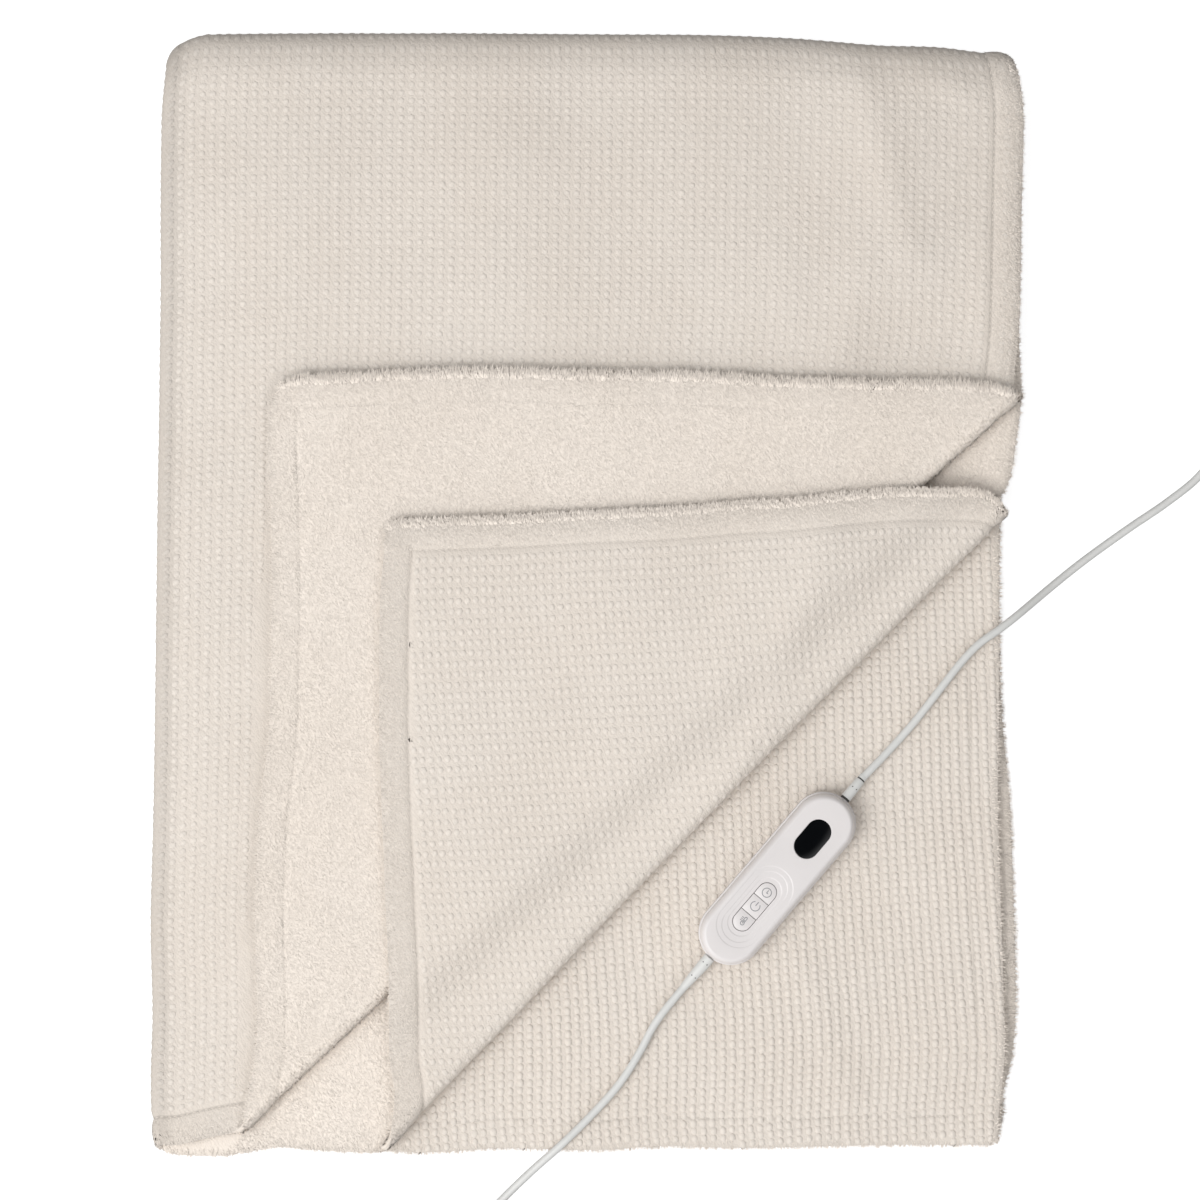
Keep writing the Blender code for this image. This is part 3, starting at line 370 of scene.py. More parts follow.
# Profiles: share of the length, radius in metres, 1 where the ring is a groove of painted shade
RELIEF_PROFILE = {
    "upper": (
        (-0.06, 0.0030, 1), (-0.045, 0.00345, 1), (0.020, 0.00345, 0), (0.025, 0.00375, 0),
        (0.060, 0.00385, 0), (0.700, 0.00350, 0), (0.900, 0.00338, 0), (0.925, 0.00325, 1),
        (0.930, 0.00295, 1), (0.985, 0.00295, 0), (0.990, 0.00315, 0), (1.100, 0.00300, 0),
        (1.150, 0.00285, 0),
    ),
    "lower": (
        (-0.04, 0.0036, 0), (-0.02, 0.0041, 0), (0.10, 0.0042, 0), (0.30, 0.0041, 0),
        (0.60, 0.0037, 0), (0.90, 0.00325, 0), (1.00, 0.00305, 0), (1.10, 0.00285, 0),
    ),
}
# Pits: share of the length, distance to either side of the middle line
RELIEF_PITS = {"upper": ((0.52, 0.0017),), "lower": ((0.16, 0.0017), (0.66, 0.0016))}


def spin_profile(rows, steps):
    """Spin a profile round the x axis into a closed body: rows of x and radius."""
    bm = bmesh.new()
    verts = [bm.verts.new((x, 0.0, radius)) for x, radius in rows]
    edges = [bm.edges.new(pair) for pair in zip(verts, verts[1:])]
    bmesh.ops.spin(
        bm, geom=verts + edges, cent=(0.0, 0.0, 0.0), axis=(1.0, 0.0, 0.0), angle=math.tau,
        steps=steps, use_merge=True,
    )
    bmesh.ops.holes_fill(bm, edges=[edge for edge in bm.edges if edge.is_boundary])
    return bm


def relief_frame(which):
    """The matrix that lays the x axis along a strain relief, z staying up."""
    start, end = relief_ends(which)
    along = (end - start).normalized()
    side = Vector((0.0, 0.0, 1.0)).cross(along).normalized()
    rows = Matrix((along, side, along.cross(side)))
    return Matrix.Translation(start) @ rows.transposed().to_4x4()


def make_relief(which):
    length, profile = RELIEF_LENGTH[which], RELIEF_PROFILE[which]
    bm = spin_profile([(share * length, radius) for share, radius, _ in profile], RELIEF_STEPS)
    # The grooves' rings take the dark material, as painted shade
    dark = [(a[0] * length, b[0] * length) for a, b in zip(profile, profile[1:]) if a[2]]
    for face in bm.faces:
        middle = face.calc_center_median().x
        face.material_index = int(any(low < middle < high for low, high in dark))
    bmesh.ops.transform(bm, matrix=relief_frame(which), verts=bm.verts[:])
    node = f"strain_relief_{which}"
    return make_piece(f"relief_{which}", bm, [cord_white, gap_painted_shade], "white_cord", stands_for=[node])


def make_pits(which):
    """Small pits of painted shade: dark discs, in pairs across the relief's top."""
    bm = bmesh.new()
    shares, radii, _ = zip(*RELIEF_PROFILE[which])
    for share, side in RELIEF_PITS[which]:
        radius = float(np.interp(share, shares, radii))
        for sign in (-1.0, 1.0):
            place = Matrix.Translation((share * RELIEF_LENGTH[which], 0.0, 0.0))
            lean = Matrix.Rotation(-math.asin(sign * side / radius), 4, "X")
            out = Matrix.Translation((0.0, 0.0, radius - PIT_DEPTH / 4))
            bmesh.ops.create_cone(
                bm, cap_ends=True, segments=PIT_SIDES, radius1=PIT_RADIUS, radius2=PIT_RADIUS,
                depth=PIT_DEPTH, matrix=place @ lean @ out,
            )
    bmesh.ops.transform(bm, matrix=relief_frame(which), verts=bm.verts[:])
    return make_piece(f"relief_pits_{which}", bm, [gap_painted_shade], "white_cord")


relief_upper, relief_lower = make_relief("upper"), make_relief("lower")
pits_upper, pits_lower = make_pits("upper"), make_pits("lower")

# %% [markdown]
# ## Plug and connector
# Both are moulded round the lead: narrow at the cord, wide at the pins. Rounded sections
# along the cord, bridged one to the next, give the soft shape in one go. The plug's pins have
# the standard size, 4 mm thick and 18.6 mm apart, with the insulating sleeves of such pins.

# %% Moulded bodies
SECTION_SIDES, SLEEVE_RIBS, RIB_SHARE, PIN_SIDES = 40, 4, 0.6, 20
# How much thicker than the cord: the first rib, each rib more, the groove between two ribs
RIB_SWELL, RIB_GROWTH, RIB_GROOVE = 1.16, 0.07, 1.08
# A pin: how far its foot is sunk, share of the radius in its sleeve and without one, tip steps
PIN_SINK, PIN_FULL, PIN_BARE, TIP_ANGLES = 0.0005, 0.98, 0.94, (0.0, 30.0, 60.0, 80.0)
# Share of the length, shares of neck and of width in the half width, share of the thickness
# in the half thickness, squareness
SHOULDER = (
    (0.25, 0.52, 0.0, 0.44, 3.4), (0.42, 0.26, 0.25, 0.47, 4.0), (0.60, 0.0, 0.480, 0.49, 4.0),
    (0.75, 0.0, 0.500, 0.50, 4.0), (0.94, 0.0, 0.500, 0.50, 4.0), (0.985, 0.0, 0.485, 0.47, 4.0),
    (1.0, 0.0, 0.455, 0.42, 4.0),
)
PLUG = {"length": 0.0350, "width": 0.0353, "neck": 0.0120, "thick": PLUG_THICK, "sleeve": 0.012}
CONNECTOR = {"length": 0.0360, "width": 0.0200, "neck": 0.0100, "thick": 0.0110, "sleeve": 0.010}
# Distance apart, radius, length, length of the insulating sleeve
PLUG_PINS, CONNECTOR_PINS = (0.0186, 0.0020, 0.0190, 0.0100), (0.0080, 0.0013, 0.0090, 0.0)


def section_loop(bm, x, half_width, half_thick, squareness):
    """One rounded section across the x axis."""
    circle = bmesh.ops.create_circle(bm, cap_ends=False, radius=1.0, segments=SECTION_SIDES)
    verts = circle["verts"]
    for vert in verts:
        across, up = vert.co.x, vert.co.y
        swell = (abs(across) ** squareness + abs(up) ** squareness) ** (-1.0 / squareness)
        vert.co = (x, across * swell * half_width, up * swell * half_thick)
    return list({edge for vert in verts for edge in vert.link_edges})


def loft(sections):
    """A closed body through sections: rows of x, half width, half thickness, squareness."""
    bm = bmesh.new()
    loops = [section_loop(bm, *row) for row in sections]
    for first, second in zip(loops, loops[1:]):
        bmesh.ops.bridge_loops(bm, edges=first + second)
    for loop in (loops[0], loops[-1]):
        bmesh.ops.edgeloop_fill(bm, edges=loop)
    return bm


def moulded_sections(length, width, neck, thick, sleeve):
    """A ribbed sleeve on the cord, a neck, a shoulder and a rounded front."""
    rows = []
    neck_thick = min(neck, thick) * 0.46
    for k in range(SLEEVE_RIBS):
        low = -sleeve * (1 - k / SLEEVE_RIBS)
        high = low + sleeve * RIB_SHARE / SLEEVE_RIBS
        grow = CORD_RADIUS * (RIB_SWELL + RIB_GROWTH * k)
        rows += [(low, grow, grow, 2.0), (high, grow * 1.05, grow * 1.05, 2.0)]
        rows.append((high + 0.0002, CORD_RADIUS * RIB_GROOVE, CORD_RADIUS * RIB_GROOVE, 2.0))
    rows.append((-0.0001, neck * 0.40, neck_thick * 0.86, 2.6))
    rows.append((length * 0.02, neck * 0.46, neck_thick * 0.95, 2.8))
    rows.append((length * 0.10, neck * 0.50, neck_thick, 3.0))
    for share, of_neck, of_width, of_thick, squareness in SHOULDER:
        half_width = neck * of_neck + width * of_width
        rows.append((length * share, half_width, thick * of_thick, squareness))
    return rows


def make_pin(name, front, side, radius, reach, sleeve, place, turn, node):
    """A pin with a round tip; its sleeve, if any, is a hair thicker and of plastic."""
    rows = [(front - PIN_SINK, radius * PIN_FULL)]
    if sleeve:
        rows += [(front + sleeve, radius * PIN_FULL), (front + sleeve + 0.0001, radius * PIN_BARE)]
    for turned in (math.radians(angle) for angle in TIP_ANGLES):
        past = front + reach - radius * (1 - math.sin(turned))
        rows.append((past, radius * (PIN_BARE - PIN_BARE * (1 - math.cos(turned)))))
    bm = spin_profile(rows, PIN_SIDES)
    for face in bm.faces:
        face.material_index = int(face.calc_center_median().x > front + sleeve)
    bmesh.ops.translate(bm, vec=(0.0, side, 0.0), verts=bm.verts[:])
    materials = [print_grey if sleeve else pin_nickel, pin_nickel]
    return make_piece(name, place_bm(bm, place, turn), materials, "pin_metal", stands_for=[node])


def make_moulded(name, pin_name, node, pin_node, body, pins, place, turn):
    """A plug or a connector with its two pins."""
    bm = place_bm(loft(moulded_sections(**body)), place, turn)
    parts = [make_piece(name, bm, [cord_white], "white_cord", stands_for=[node])]
    apart, radius, reach, sleeve = pins
    for letter, sign in (("a", 1.0), ("b", -1.0)):
        parts.append(
            make_pin(
                f"{pin_name}_{letter}", body["length"], sign * apart / 2, radius, reach, sleeve,
                place, turn, f"{pin_node}_{letter}",
            )
        )
    return parts


plug_parts = make_moulded(
    "mains_plug", "mains_pin", "plug_body", "plug_pin", PLUG, PLUG_PINS, Vector(tail[-1]), 0.0
)
connector_parts = make_moulded(
    "lead_connector", "lead_pin", "connector", "connector_pin", CONNECTOR, CONNECTOR_PINS,
    Vector(BLANKET_LEAD[-1]), math.pi / 2,
)

# %% [markdown]
# ## The coil's tie
# A soft strap holds the coil. A strip of it is bent round the coil's section: a loop of
# rounded corners, made thick by Solidify and softened by a small bevel.

# %% Tie
TIE_ANGLE, TIE_BEND = math.radians(20.0), 0.0016
TIE_WIDTH, TIE_THICK, TIE_SLACK, TIE_SOFT = 0.006, 0.0005, 0.0005, 0.3


def make_tie():
    x = 4 * CORD_RADIUS + TIE_SLACK + TIE_THICK / 2
    z = 2 * CORD_RADIUS + TOUCH_GAP + TIE_THICK / 2
    bm = bmesh.new()
    corners = ((x, z), (-x, z), (-x, -z), (x, -z))
    verts = [bm.verts.new((across, -TIE_WIDTH / 2, up)) for across, up in corners]
    for pair in zip(verts, verts[1:] + verts[:1]):
        bm.edges.new(pair)
    bmesh.ops.bevel(
        bm, geom=verts, offset=TIE_BEND, offset_type="OFFSET", affect="VERTICES", segments=6,
        profile=0.5, material=-1,
    )
    grown = bmesh.ops.extrude_edge_only(bm, edges=bm.edges[:])["geom"]
    fresh = [part for part in grown if isinstance(part, bmesh.types.BMVert)]
    bmesh.ops.translate(bm, vec=(0.0, TIE_WIDTH, 0.0), verts=fresh)
    middle_z = TIE_THICK + TOUCH_GAP + 2 * CORD_RADIUS
    bmesh.ops.translate(bm, vec=(COIL_MIDDLE_RADIUS, 0.0, middle_z), verts=bm.verts[:])
    place_bm(bm, (COIL_X, COIL_Y, 0.0), TIE_ANGLE)
    tie = make_piece("lead_tie", bm, [cord_white], "white_cord", stands_for=["coil_tie"])
    thick = tie.modifiers.new("thickness", "SOLIDIFY")
    thick.thickness, thick.offset = TIE_THICK, 0.0
    soft = tie.modifiers.new("soft edges", "BEVEL")
    soft.width, soft.segments = TIE_THICK * TIE_SOFT, 2
    return tie


lead_tie = make_tie()

tuple(relief_ends("lower")[1])
tuple(relief_ends("upper")[1])

# %% [markdown]
# ## Stadium shapes
# Every outline of the controller is a stadium: straight sides and round ends. A circle whose
# halves are moved apart gives one, and a stack of them, extruded from one to the next, gives
# a shell with any rounded side. Each point keeps its direction on the circle, so sections of
# any length and width stay joined point to point, with no twist.

# %% Stadium stacks
END_STEPS = 36


def place_section(verts, unit, height, length, width, middle):
    """Put a section's points on a stadium of this length and width."""
    radius = width / 2
    straight = length / 2 - radius
    for vert in verts:
        way = vert[unit]
        shift = math.copysign(straight, way.x)
        vert.co = (middle + shift + way.x * radius, way.y * radius, height)


def start_stadiums():
    """A bmesh whose points can keep their direction on the circle."""
    bm = bmesh.new()
    bm.verts.layers.float_vector.new("unit")
    return bm


def extrude_cap(bm, face):
    """Extrude a face and return the new one."""
    grown = bmesh.ops.extrude_face_region(bm, geom=[face, *face.edges, *face.verts])["geom"]
    return next(part for part in grown if isinstance(part, bmesh.types.BMFace))


def stadium_stack(bm, rows, middle=0.0, open_start=False, open_end=False, end_steps=END_STEPS):
    """Stadium sections joined in a stack: each row is a height, a length and a width."""
    unit = bm.verts.layers.float_vector["unit"]
    half_step = math.pi / (2 * end_steps)
    turn = Matrix.Rotation(half_step, 4, "Z")
    circle = bmesh.ops.create_circle(
        bm, cap_ends=True, segments=2 * end_steps, radius=1.0, matrix=turn
    )["verts"]
    for vert in circle:
        vert[unit] = (vert.co.x, vert.co.y / math.cos(half_step), 0.0)
    start = face = circle[0].link_faces[0]
    place_section(face.verts, unit, *rows[0], middle)
    for row in rows[1:]:
        face = extrude_cap(bm, face)
        place_section(face.verts, unit, *row, middle)
    loose = [end for end, is_open in ((start, open_start), (face, open_end)) if is_open]
    bmesh.ops.delete(bm, geom=loose, context="FACES_ONLY")
    return bm


def quarter_round(low, high, outer, inner, steps):
    """Heights and insets of a rounded edge, from the side at low to the top at high."""
    rows = []
    for angle in (math.pi / 2 * k / steps for k in range(steps + 1)):
        inset = outer + (inner - outer) * (1 - math.cos(angle))
        rows.append((low + (high - low) * math.sin(angle), inset))
    return rows


def inset_rows(rows, length, width):
    """Turn rows of height and inset into rows of height, length and width."""
    return [(height, length - 2 * inset, width - 2 * inset) for height, inset in rows]


def show_on_controller(name, bm, materials, slot, **about):
    """Move a finished bmesh to the controller's place and show it."""
    place_bm(bm, CONTROLLER_PLACE, CONTROLLER_TURN)
    return make_piece(name, bm, materials, slot, **about)


# %% [markdown]
# ## The controller's shells
# Two moulded halves meet in a fine seam, the lower one a millimetre wider, so that its rim
# shows as a thin light line. The top has a window recess, and a dish that goes down to the keys
# in three soft ripples. A boolean would cut them with hard edges, so the recesses are stacks
# of their own, and one flat fill joins their rims to the shell's.

# %% Shells
LOWER_SHELL_TOP, CONTROLLER_HEIGHT = 0.0090, 0.0190
UPPER_SHELL_BASE = LOWER_SHELL_TOP + TOUCH_GAP
LOWER_ROUND, RIM_ROUND, RIM_STEP = 0.0030, 0.0004, 0.0010
SHOULDER_LOW, SHOULDER_INSET, SHOULDER_STEPS = 0.0112, 0.0051, 10
FILL_MARGIN = 0.0003
DISPLAY_U, DISPLAY_LENGTH, DISPLAY_WIDTH, DISPLAY_DEPTH = 0.0371, 0.0305, 0.0177, 0.0016
WINDOW_LIP, KEY_LIP = 0.0005, 0.00025
KEYS_U, KEYS_LENGTH, KEYS_WIDTH = -0.0250, 0.0396, 0.0131
KEY_GAP, KEY_HEIGHT, KEY_TRAVEL, KEY_PROUD, UNDER_KEYS = 0.0004, 0.0022, 0.0008, 0.00035, 0.0006
RIPPLE_STEP, RIPPLE_SPAN = 0.0003, 0.0011
# Length and width of the three ripples of the dish
RIPPLES = ((0.0660, 0.0332), (0.0584, 0.0255), (0.0488, 0.0202))
KEY_TOP = CONTROLLER_HEIGHT - RIPPLE_STEP * len(RIPPLES) + KEY_PROUD
KEY_WELL_FLOOR = KEY_TOP - KEY_HEIGHT - KEY_TRAVEL - UNDER_KEYS
# A soft step down: share of its width, share of its depth
SOFT_STEP = ((0.0, 0.0), (0.2, 0.06), (0.4, 0.32), (0.6, 0.68), (0.8, 0.94), (1.0, 1.0))


def make_shell(which, bm):
    return show_on_controller(
        f"shell_{which}", bm, [shell_white], "white_shell",
        stands_for=[f"controller_{which}_shell"], smooth_angle=50.0,
    )


def make_lower_shell():
    bottom = reversed(quarter_round(0.0, LOWER_ROUND, 0.0, LOWER_ROUND, 6))
    rows = [(LOWER_ROUND - height, inset) for height, inset in bottom]
    rows += quarter_round(LOWER_SHELL_TOP - RIM_ROUND, LOWER_SHELL_TOP, 0.0, RIM_ROUND, 3)
    rows = inset_rows(rows, CONTROLLER_LENGTH, CONTROLLER_WIDTH)
    return make_shell("lower", stadium_stack(start_stadiums(), rows))


def dish_rows():
    """The dish from its rim down its ripples and into the key well."""
    rows = []
    height = CONTROLLER_HEIGHT
    for length, width in RIPPLES:
        for share, drop in SOFT_STEP:
            inset = RIPPLE_SPAN * share
            rows.append((height - RIPPLE_STEP * drop, length - 2 * inset, width - 2 * inset))
        height -= RIPPLE_STEP
    well_length, well_width = KEYS_LENGTH + 2 * KEY_GAP, KEYS_WIDTH + 2 * KEY_GAP
    margin = 2 * (KEY_LIP + FILL_MARGIN)
    rows.append((height, well_length + margin, well_width + margin))
    lip = quarter_round(height - KEY_LIP, height, 0.0, -KEY_LIP, 3)
    rows += inset_rows(reversed(lip), well_length, well_width)
    rows.append((KEY_WELL_FLOOR, well_length, well_width))
    return rows


def make_upper_shell():
    top = CONTROLLER_HEIGHT
    side = [(UPPER_SHELL_BASE, RIM_STEP)]
    side += quarter_round(SHOULDER_LOW, top, RIM_STEP, SHOULDER_INSET, SHOULDER_STEPS)
    side.append((top, SHOULDER_INSET + FILL_MARGIN))
    lip = quarter_round(top - WINDOW_LIP, top, 0.0, -WINDOW_LIP, 4)
    window = [(top, -WINDOW_LIP - FILL_MARGIN), *reversed(lip), (top - DISPLAY_DEPTH, 0.0)]
    window = inset_rows(window, DISPLAY_LENGTH, DISPLAY_WIDTH)
    bm = start_stadiums()
    stadium_stack(bm, inset_rows(side, CONTROLLER_LENGTH, CONTROLLER_WIDTH), open_end=True)
    stadium_stack(bm, window, DISPLAY_U, open_start=True)
    stadium_stack(bm, dish_rows(), KEYS_U, open_start=True)
    rims = [edge for edge in bm.edges if edge.is_boundary]
    bmesh.ops.triangle_fill(bm, use_beauty=True, edges=rims, normal=(0.0, 0.0, 1.0))
    print("shell open edges:", sum(not edge.is_manifold for edge in bm.edges))
    return make_shell("upper", bm)


def make_display():
    gap = TOUCH_GAP / 4
    low = CONTROLLER_HEIGHT - DISPLAY_DEPTH + TOUCH_GAP
    top = CONTROLLER_HEIGHT - TOUCH_GAP / 2
    rows = [(low, gap), *quarter_round(top - gap, top, gap, 3 * gap, 3)]
    bm = stadium_stack(start_stadiums(), inset_rows(rows, DISPLAY_LENGTH, DISPLAY_WIDTH), DISPLAY_U)
    return show_on_controller(
        "window_glass", bm, [display_black], "black_display", stands_for=["display_window"]
    )


make_lower_shell()
make_upper_shell()
make_display()

# %% [markdown]
# ## The keys
# Three keys share one stadium outline. Each is cut from it, with half a gap taken off at a
# divider, and its edges get a tiny bevel, without which a moulded key looks like cut paper.
# Each rides on its own body of the frame, because it goes down when it is pressed.

# %% Keys
KEY_BEVEL = 0.00022
# Each key's ends along the controller, from the middle of the three
KEYS = {
    "timer": (0.0070, KEYS_LENGTH / 2),
    "power": (-0.0064, 0.0070),
    "heat": (-KEYS_LENGTH / 2, -0.0064),
}


def trim_end(bm, place, direction):
    """Cut a solid across at a place on x, and close the cut."""
    cut_parts = bmesh.ops.bisect_plane(
        bm, geom=bm.verts[:] + bm.edges[:] + bm.faces[:], plane_co=(place, 0.0, 0.0),
        plane_no=(direction, 0.0, 0.0), clear_outer=True,
    )["geom_cut"]
    rim = [part for part in cut_parts if isinstance(part, bmesh.types.BMEdge)]
    bmesh.ops.edgenet_fill(bm, edges=rim)


def make_key(which):
    low, high = KEYS[which]
    rows = [(height, KEYS_LENGTH, KEYS_WIDTH) for height in (KEY_TOP - KEY_HEIGHT, KEY_TOP)]
    bm = stadium_stack(start_stadiums(), rows, KEYS_U)
    if low > -KEYS_LENGTH / 2:
        trim_end(bm, KEYS_U + low + KEY_GAP / 2, -1.0)
    if high < KEYS_LENGTH / 2:
        trim_end(bm, KEYS_U + high - KEY_GAP / 2, 1.0)
    top = [edge for edge in bm.edges if all(vert.co.z > KEY_TOP - KEY_BEVEL for vert in edge.verts)]
    bmesh.ops.bevel(
        bm, geom=top, offset=KEY_BEVEL, offset_type="OFFSET", segments=2, profile=0.5,
        affect="EDGES", clamp_overlap=True, material=-1,
    )
    node = f"key_{which}"
    return show_on_controller(
        f"keycap_{which}", bm, [shell_white], "white_shell", body=node, stands_for=[node]
    )


for which in KEYS:
    make_key(which)

# %% [markdown]
# ## The signs on the keys
# The keys carry plain signs that any such controller has: a clock, a power sign and a
# thermometer. They are printed, so they are strokes a few hundredths of a millimetre thick:
# small stadiums for the lines, and a rectangle that is spun for the rings.

# %% Signs
SIGN_LINE, SIGN_THICK, SIGN_SINK = 0.00062, 0.00004, 0.00006
SIGN_U = {"timer": 0.0130, "power": 0.0006, "heat": -0.0124}


def stroke(bm, start, end):
    """A line with round ends: both ends given up the controller and to its right."""
    before = set(bm.verts)
    run = Vector((end[0] - start[0], start[1] - end[1]))
    length = run.length + SIGN_LINE
    stadium_stack(bm, [(z, length, SIGN_LINE) for z in (-SIGN_SINK, SIGN_THICK)], end_steps=6)
    middle = ((start[0] + end[0]) / 2, -(start[1] + end[1]) / 2, 0.0)
    place = Matrix.Translation(middle) @ Matrix.Rotation(math.atan2(run.y, run.x), 4, "Z")
    fresh = [vert for vert in bm.verts if vert not in before]
    bmesh.ops.transform(bm, matrix=place, verts=fresh)


def arc(bm, middle, radius, gap, turn=0.0):
    """A ring around a middle, open by a gap of so many degrees towards the turn."""
    middle = (middle[0], -middle[1], 0.0)
    corners = [
        bm.verts.new((radius + side * SIGN_LINE / 2, 0.0, height))
        for side, height in ((-1, -SIGN_SINK), (1, -SIGN_SINK), (1, SIGN_THICK), (-1, SIGN_THICK))
    ]
    edges = [bm.edges.new(pair) for pair in zip(corners, corners[1:] + corners[:1])]
    start = math.radians(turn + gap / 2)
    place = Matrix.Translation(middle) @ Matrix.Rotation(start, 4, "Z")
    bmesh.ops.transform(bm, matrix=place, verts=corners)
    bmesh.ops.spin(
        bm, geom=corners + edges, cent=middle, axis=(0.0, 0.0, 1.0),
        angle=math.radians(360.0 - gap), steps=40, use_merge=gap == 0,
    )


def clock_sign(bm):
    arc(bm, (0.0, 0.0), 0.0032, 0)
    stroke(bm, (-0.0002, 0.0), (0.0019, 0.0))
    stroke(bm, (-0.0002, 0.0), (-0.0002, 0.0010))


def power_sign(bm):
    arc(bm, (0.0, 0.0), 0.0033, 76)
    stroke(bm, (0.0006, 0.0), (0.0034, 0.0))


def thermometer_sign(bm):
    bulb, tube, side, low, high = 0.0013, 0.0008, 0.0007, -0.0018, 0.0024
    opening = 2 * math.degrees(math.asin(tube / bulb))
    arc(bm, (low, side), bulb, opening)
    arc(bm, (high, side), tube, 180, 180.0)
    for wall in (side - tube, side + tube):
        stroke(bm, (low + 0.0010, wall), (high, wall))
    stroke(bm, (low, side), (0.0006, side))
    for up in (-0.0006, 0.0006, 0.0018):
        stroke(bm, (up, side - 0.0018), (up, side - 0.0027))


def make_sign(name, which, draw):
    bm = start_stadiums()
    draw(bm)
    bmesh.ops.holes_fill(bm, edges=[edge for edge in bm.edges if edge.is_boundary], sides=4)
    bmesh.ops.translate(bm, vec=(KEYS_U + SIGN_U[which], 0.0, KEY_TOP), verts=bm.verts[:])
    return show_on_controller(name, bm, [print_grey], "white_shell", body=f"key_{which}")


make_sign("sign_clock", "timer", clock_sign)
make_sign("sign_power", "power", power_sign)
make_sign("sign_thermometer", "heat", thermometer_sign)

# %% [markdown]
# ## Floor and light
# The blanket lies on a plain white ground, as white in the picture as paper. The light is soft
# and comes mostly from the left and a little from below: shade lies above the turned corners,
# and the top edge is the darkest. A large area light gives the direction. The pale room around
# is a gradient, brighter on that side, with a dark spot straight above, where a camera and its
# stand would be: that keeps the glossy display black from there. The ground's white is a glow
# that only the picture sees. A floor that is as white for the light too would brighten the
# cloth's edges from below, and they are its darkest places.

# %% Floor and light
FLOOR_SIZE, FLOOR_TONE, FLOOR_GLOW = 14.0, 0.40, 0.82
KEY_PLACE, KEY_SIZE, KEY_POWER = (-1.5, -0.9, 2.6), 1.9, 46.5
ROOM_SIDE = (-0.35, -0.35, 0.87)
ROOM_DARK, ROOM_BRIGHT = 0.10, 1.04
ROOM_LOW, ROOM_HIGH = -0.3, 1.0
SPOT_INNER, SPOT_OUTER = math.cos(math.radians(9.0)), math.cos(math.radians(15.0))
SPOT_SHARE = 0.03


def make_floor():
    bm = bmesh.new()
    bmesh.ops.create_grid(bm, x_segments=1, y_segments=1, size=FLOOR_SIZE / 2)
    mesh = bpy.data.meshes.new("floor")
    bm.to_mesh(mesh)
    bm.free()
    white = surface_material(
        "floor_white", (FLOOR_TONE,) * 3, (FLOOR_TONE * 0.98,) * 3, 2.0, 300.0, 0.00001, 0.9,
        Emission_Color=(1.0, 1.0, 1.0, 1.0),
    )
    tree = white.node_tree
    seen = add_node(tree, "ShaderNodeLightPath").outputs["Is Camera Ray"]
    glow = add_node(tree, "ShaderNodeMath", {0: seen, 1: FLOOR_GLOW}, operation="MULTIPLY")
    strength = tree.nodes["Principled BSDF"].inputs["Emission Strength"]
    tree.links.new(glow.outputs["Value"], strength)
    mesh.materials.append(white)
    floor = bpy.data.objects.new("floor", mesh)
    bpy.context.collection.objects.link(floor)


def make_light():
    data = bpy.data.lights.new("key_light", "AREA")
    data.shape, data.size, data.energy = "DISK", KEY_SIZE, KEY_POWER
    light = bpy.data.objects.new("key_light", data)
    light.location = KEY_PLACE
    light.rotation_euler = (-Vector(KEY_PLACE)).to_track_quat("-Z", "Y").to_euler()
    bpy.context.collection.objects.link(light)


def spread(tree, vector, toward, low, high, value_low, value_high):
    """A smooth change of value with the angle to a direction."""
    ends = {0: vector, 1: Vector(toward).normalized()}
    dot = add_node(tree, "ShaderNodeVectorMath", ends, operation="DOT_PRODUCT")
    limits = {"Value": dot.outputs["Value"], "From Min": low, "From Max": high}
    limits |= {"To Min": value_low, "To Max": value_high}
    ramp = add_node(tree, "ShaderNodeMapRange", limits, interpolation_type="SMOOTHSTEP")
    return ramp.outputs["Result"]


def make_room():
    world = bpy.data.worlds.new("pale_room")
    world.use_nodes = True
    tree = world.node_tree
    way = add_node(tree, "ShaderNodeTexCoord").outputs["Generated"]
    side = spread(tree, way, ROOM_SIDE, ROOM_LOW, ROOM_HIGH, ROOM_DARK, ROOM_BRIGHT)
    spot = spread(tree, way, (0.0, 0.0, 1.0), SPOT_OUTER, SPOT_INNER, 1.0, SPOT_SHARE)
    product = add_node(tree, "ShaderNodeMath", {0: side, 1: spot}, operation="MULTIPLY")
    background = tree.nodes["Background"].inputs
    background["Color"].default_value = (1.0, 1.0, 1.0, 1.0)
    tree.links.new(product.outputs["Value"], background["Strength"])
    bpy.context.scene.world = world
    bpy.context.scene.view_settings.view_transform = "Standard"


make_floor()
make_light()
make_room()

# %% [markdown]
# ## The cloth's measures
# The throw is cut 1.206 x 1.564 m. s runs across the flat cloth and t along it, both from its
# middle, and n is the height above the middle of its thickness on the nubs' side. Layers are
# numbered from the top, 1 to 4: the left fold joins 1 to 2 and 3 to 4, the top fold the two
# pairs. The tables below say how the free edges and the folded sides wander, in metres.

# %% Measures of the cloth
FLAT_WIDTH, FLAT_LENGTH = 1.206, 1.564
HALF_WIDTH, HALF_LENGTH = FLAT_WIDTH / 2, FLAT_LENGTH / 2
HEM_WIDTH = 0.022
LEFT_FOLD_X, TOP_FOLD_Y = -0.2945, 0.3765
LEFT_FOLD_RADIUS, TOP_FOLD_RADIUS = LAYER_STEP / 2, LAYER_STEP
STACK_MIDDLE = 1.5 * LAYER_STEP + CLOTH / 2
LEFT_ARC, TOP_ARC = LEFT_FOLD_RADIUS * math.pi / 2, TOP_FOLD_RADIUS * math.pi / 2
RIGHT_X = LEFT_FOLD_X + HALF_WIDTH - LEFT_ARC
BOTTOM_Y = TOP_FOLD_Y - HALF_LENGTH + TOP_ARC
LEFT_X = LEFT_FOLD_X - LEFT_FOLD_RADIUS - CLOTH / 2
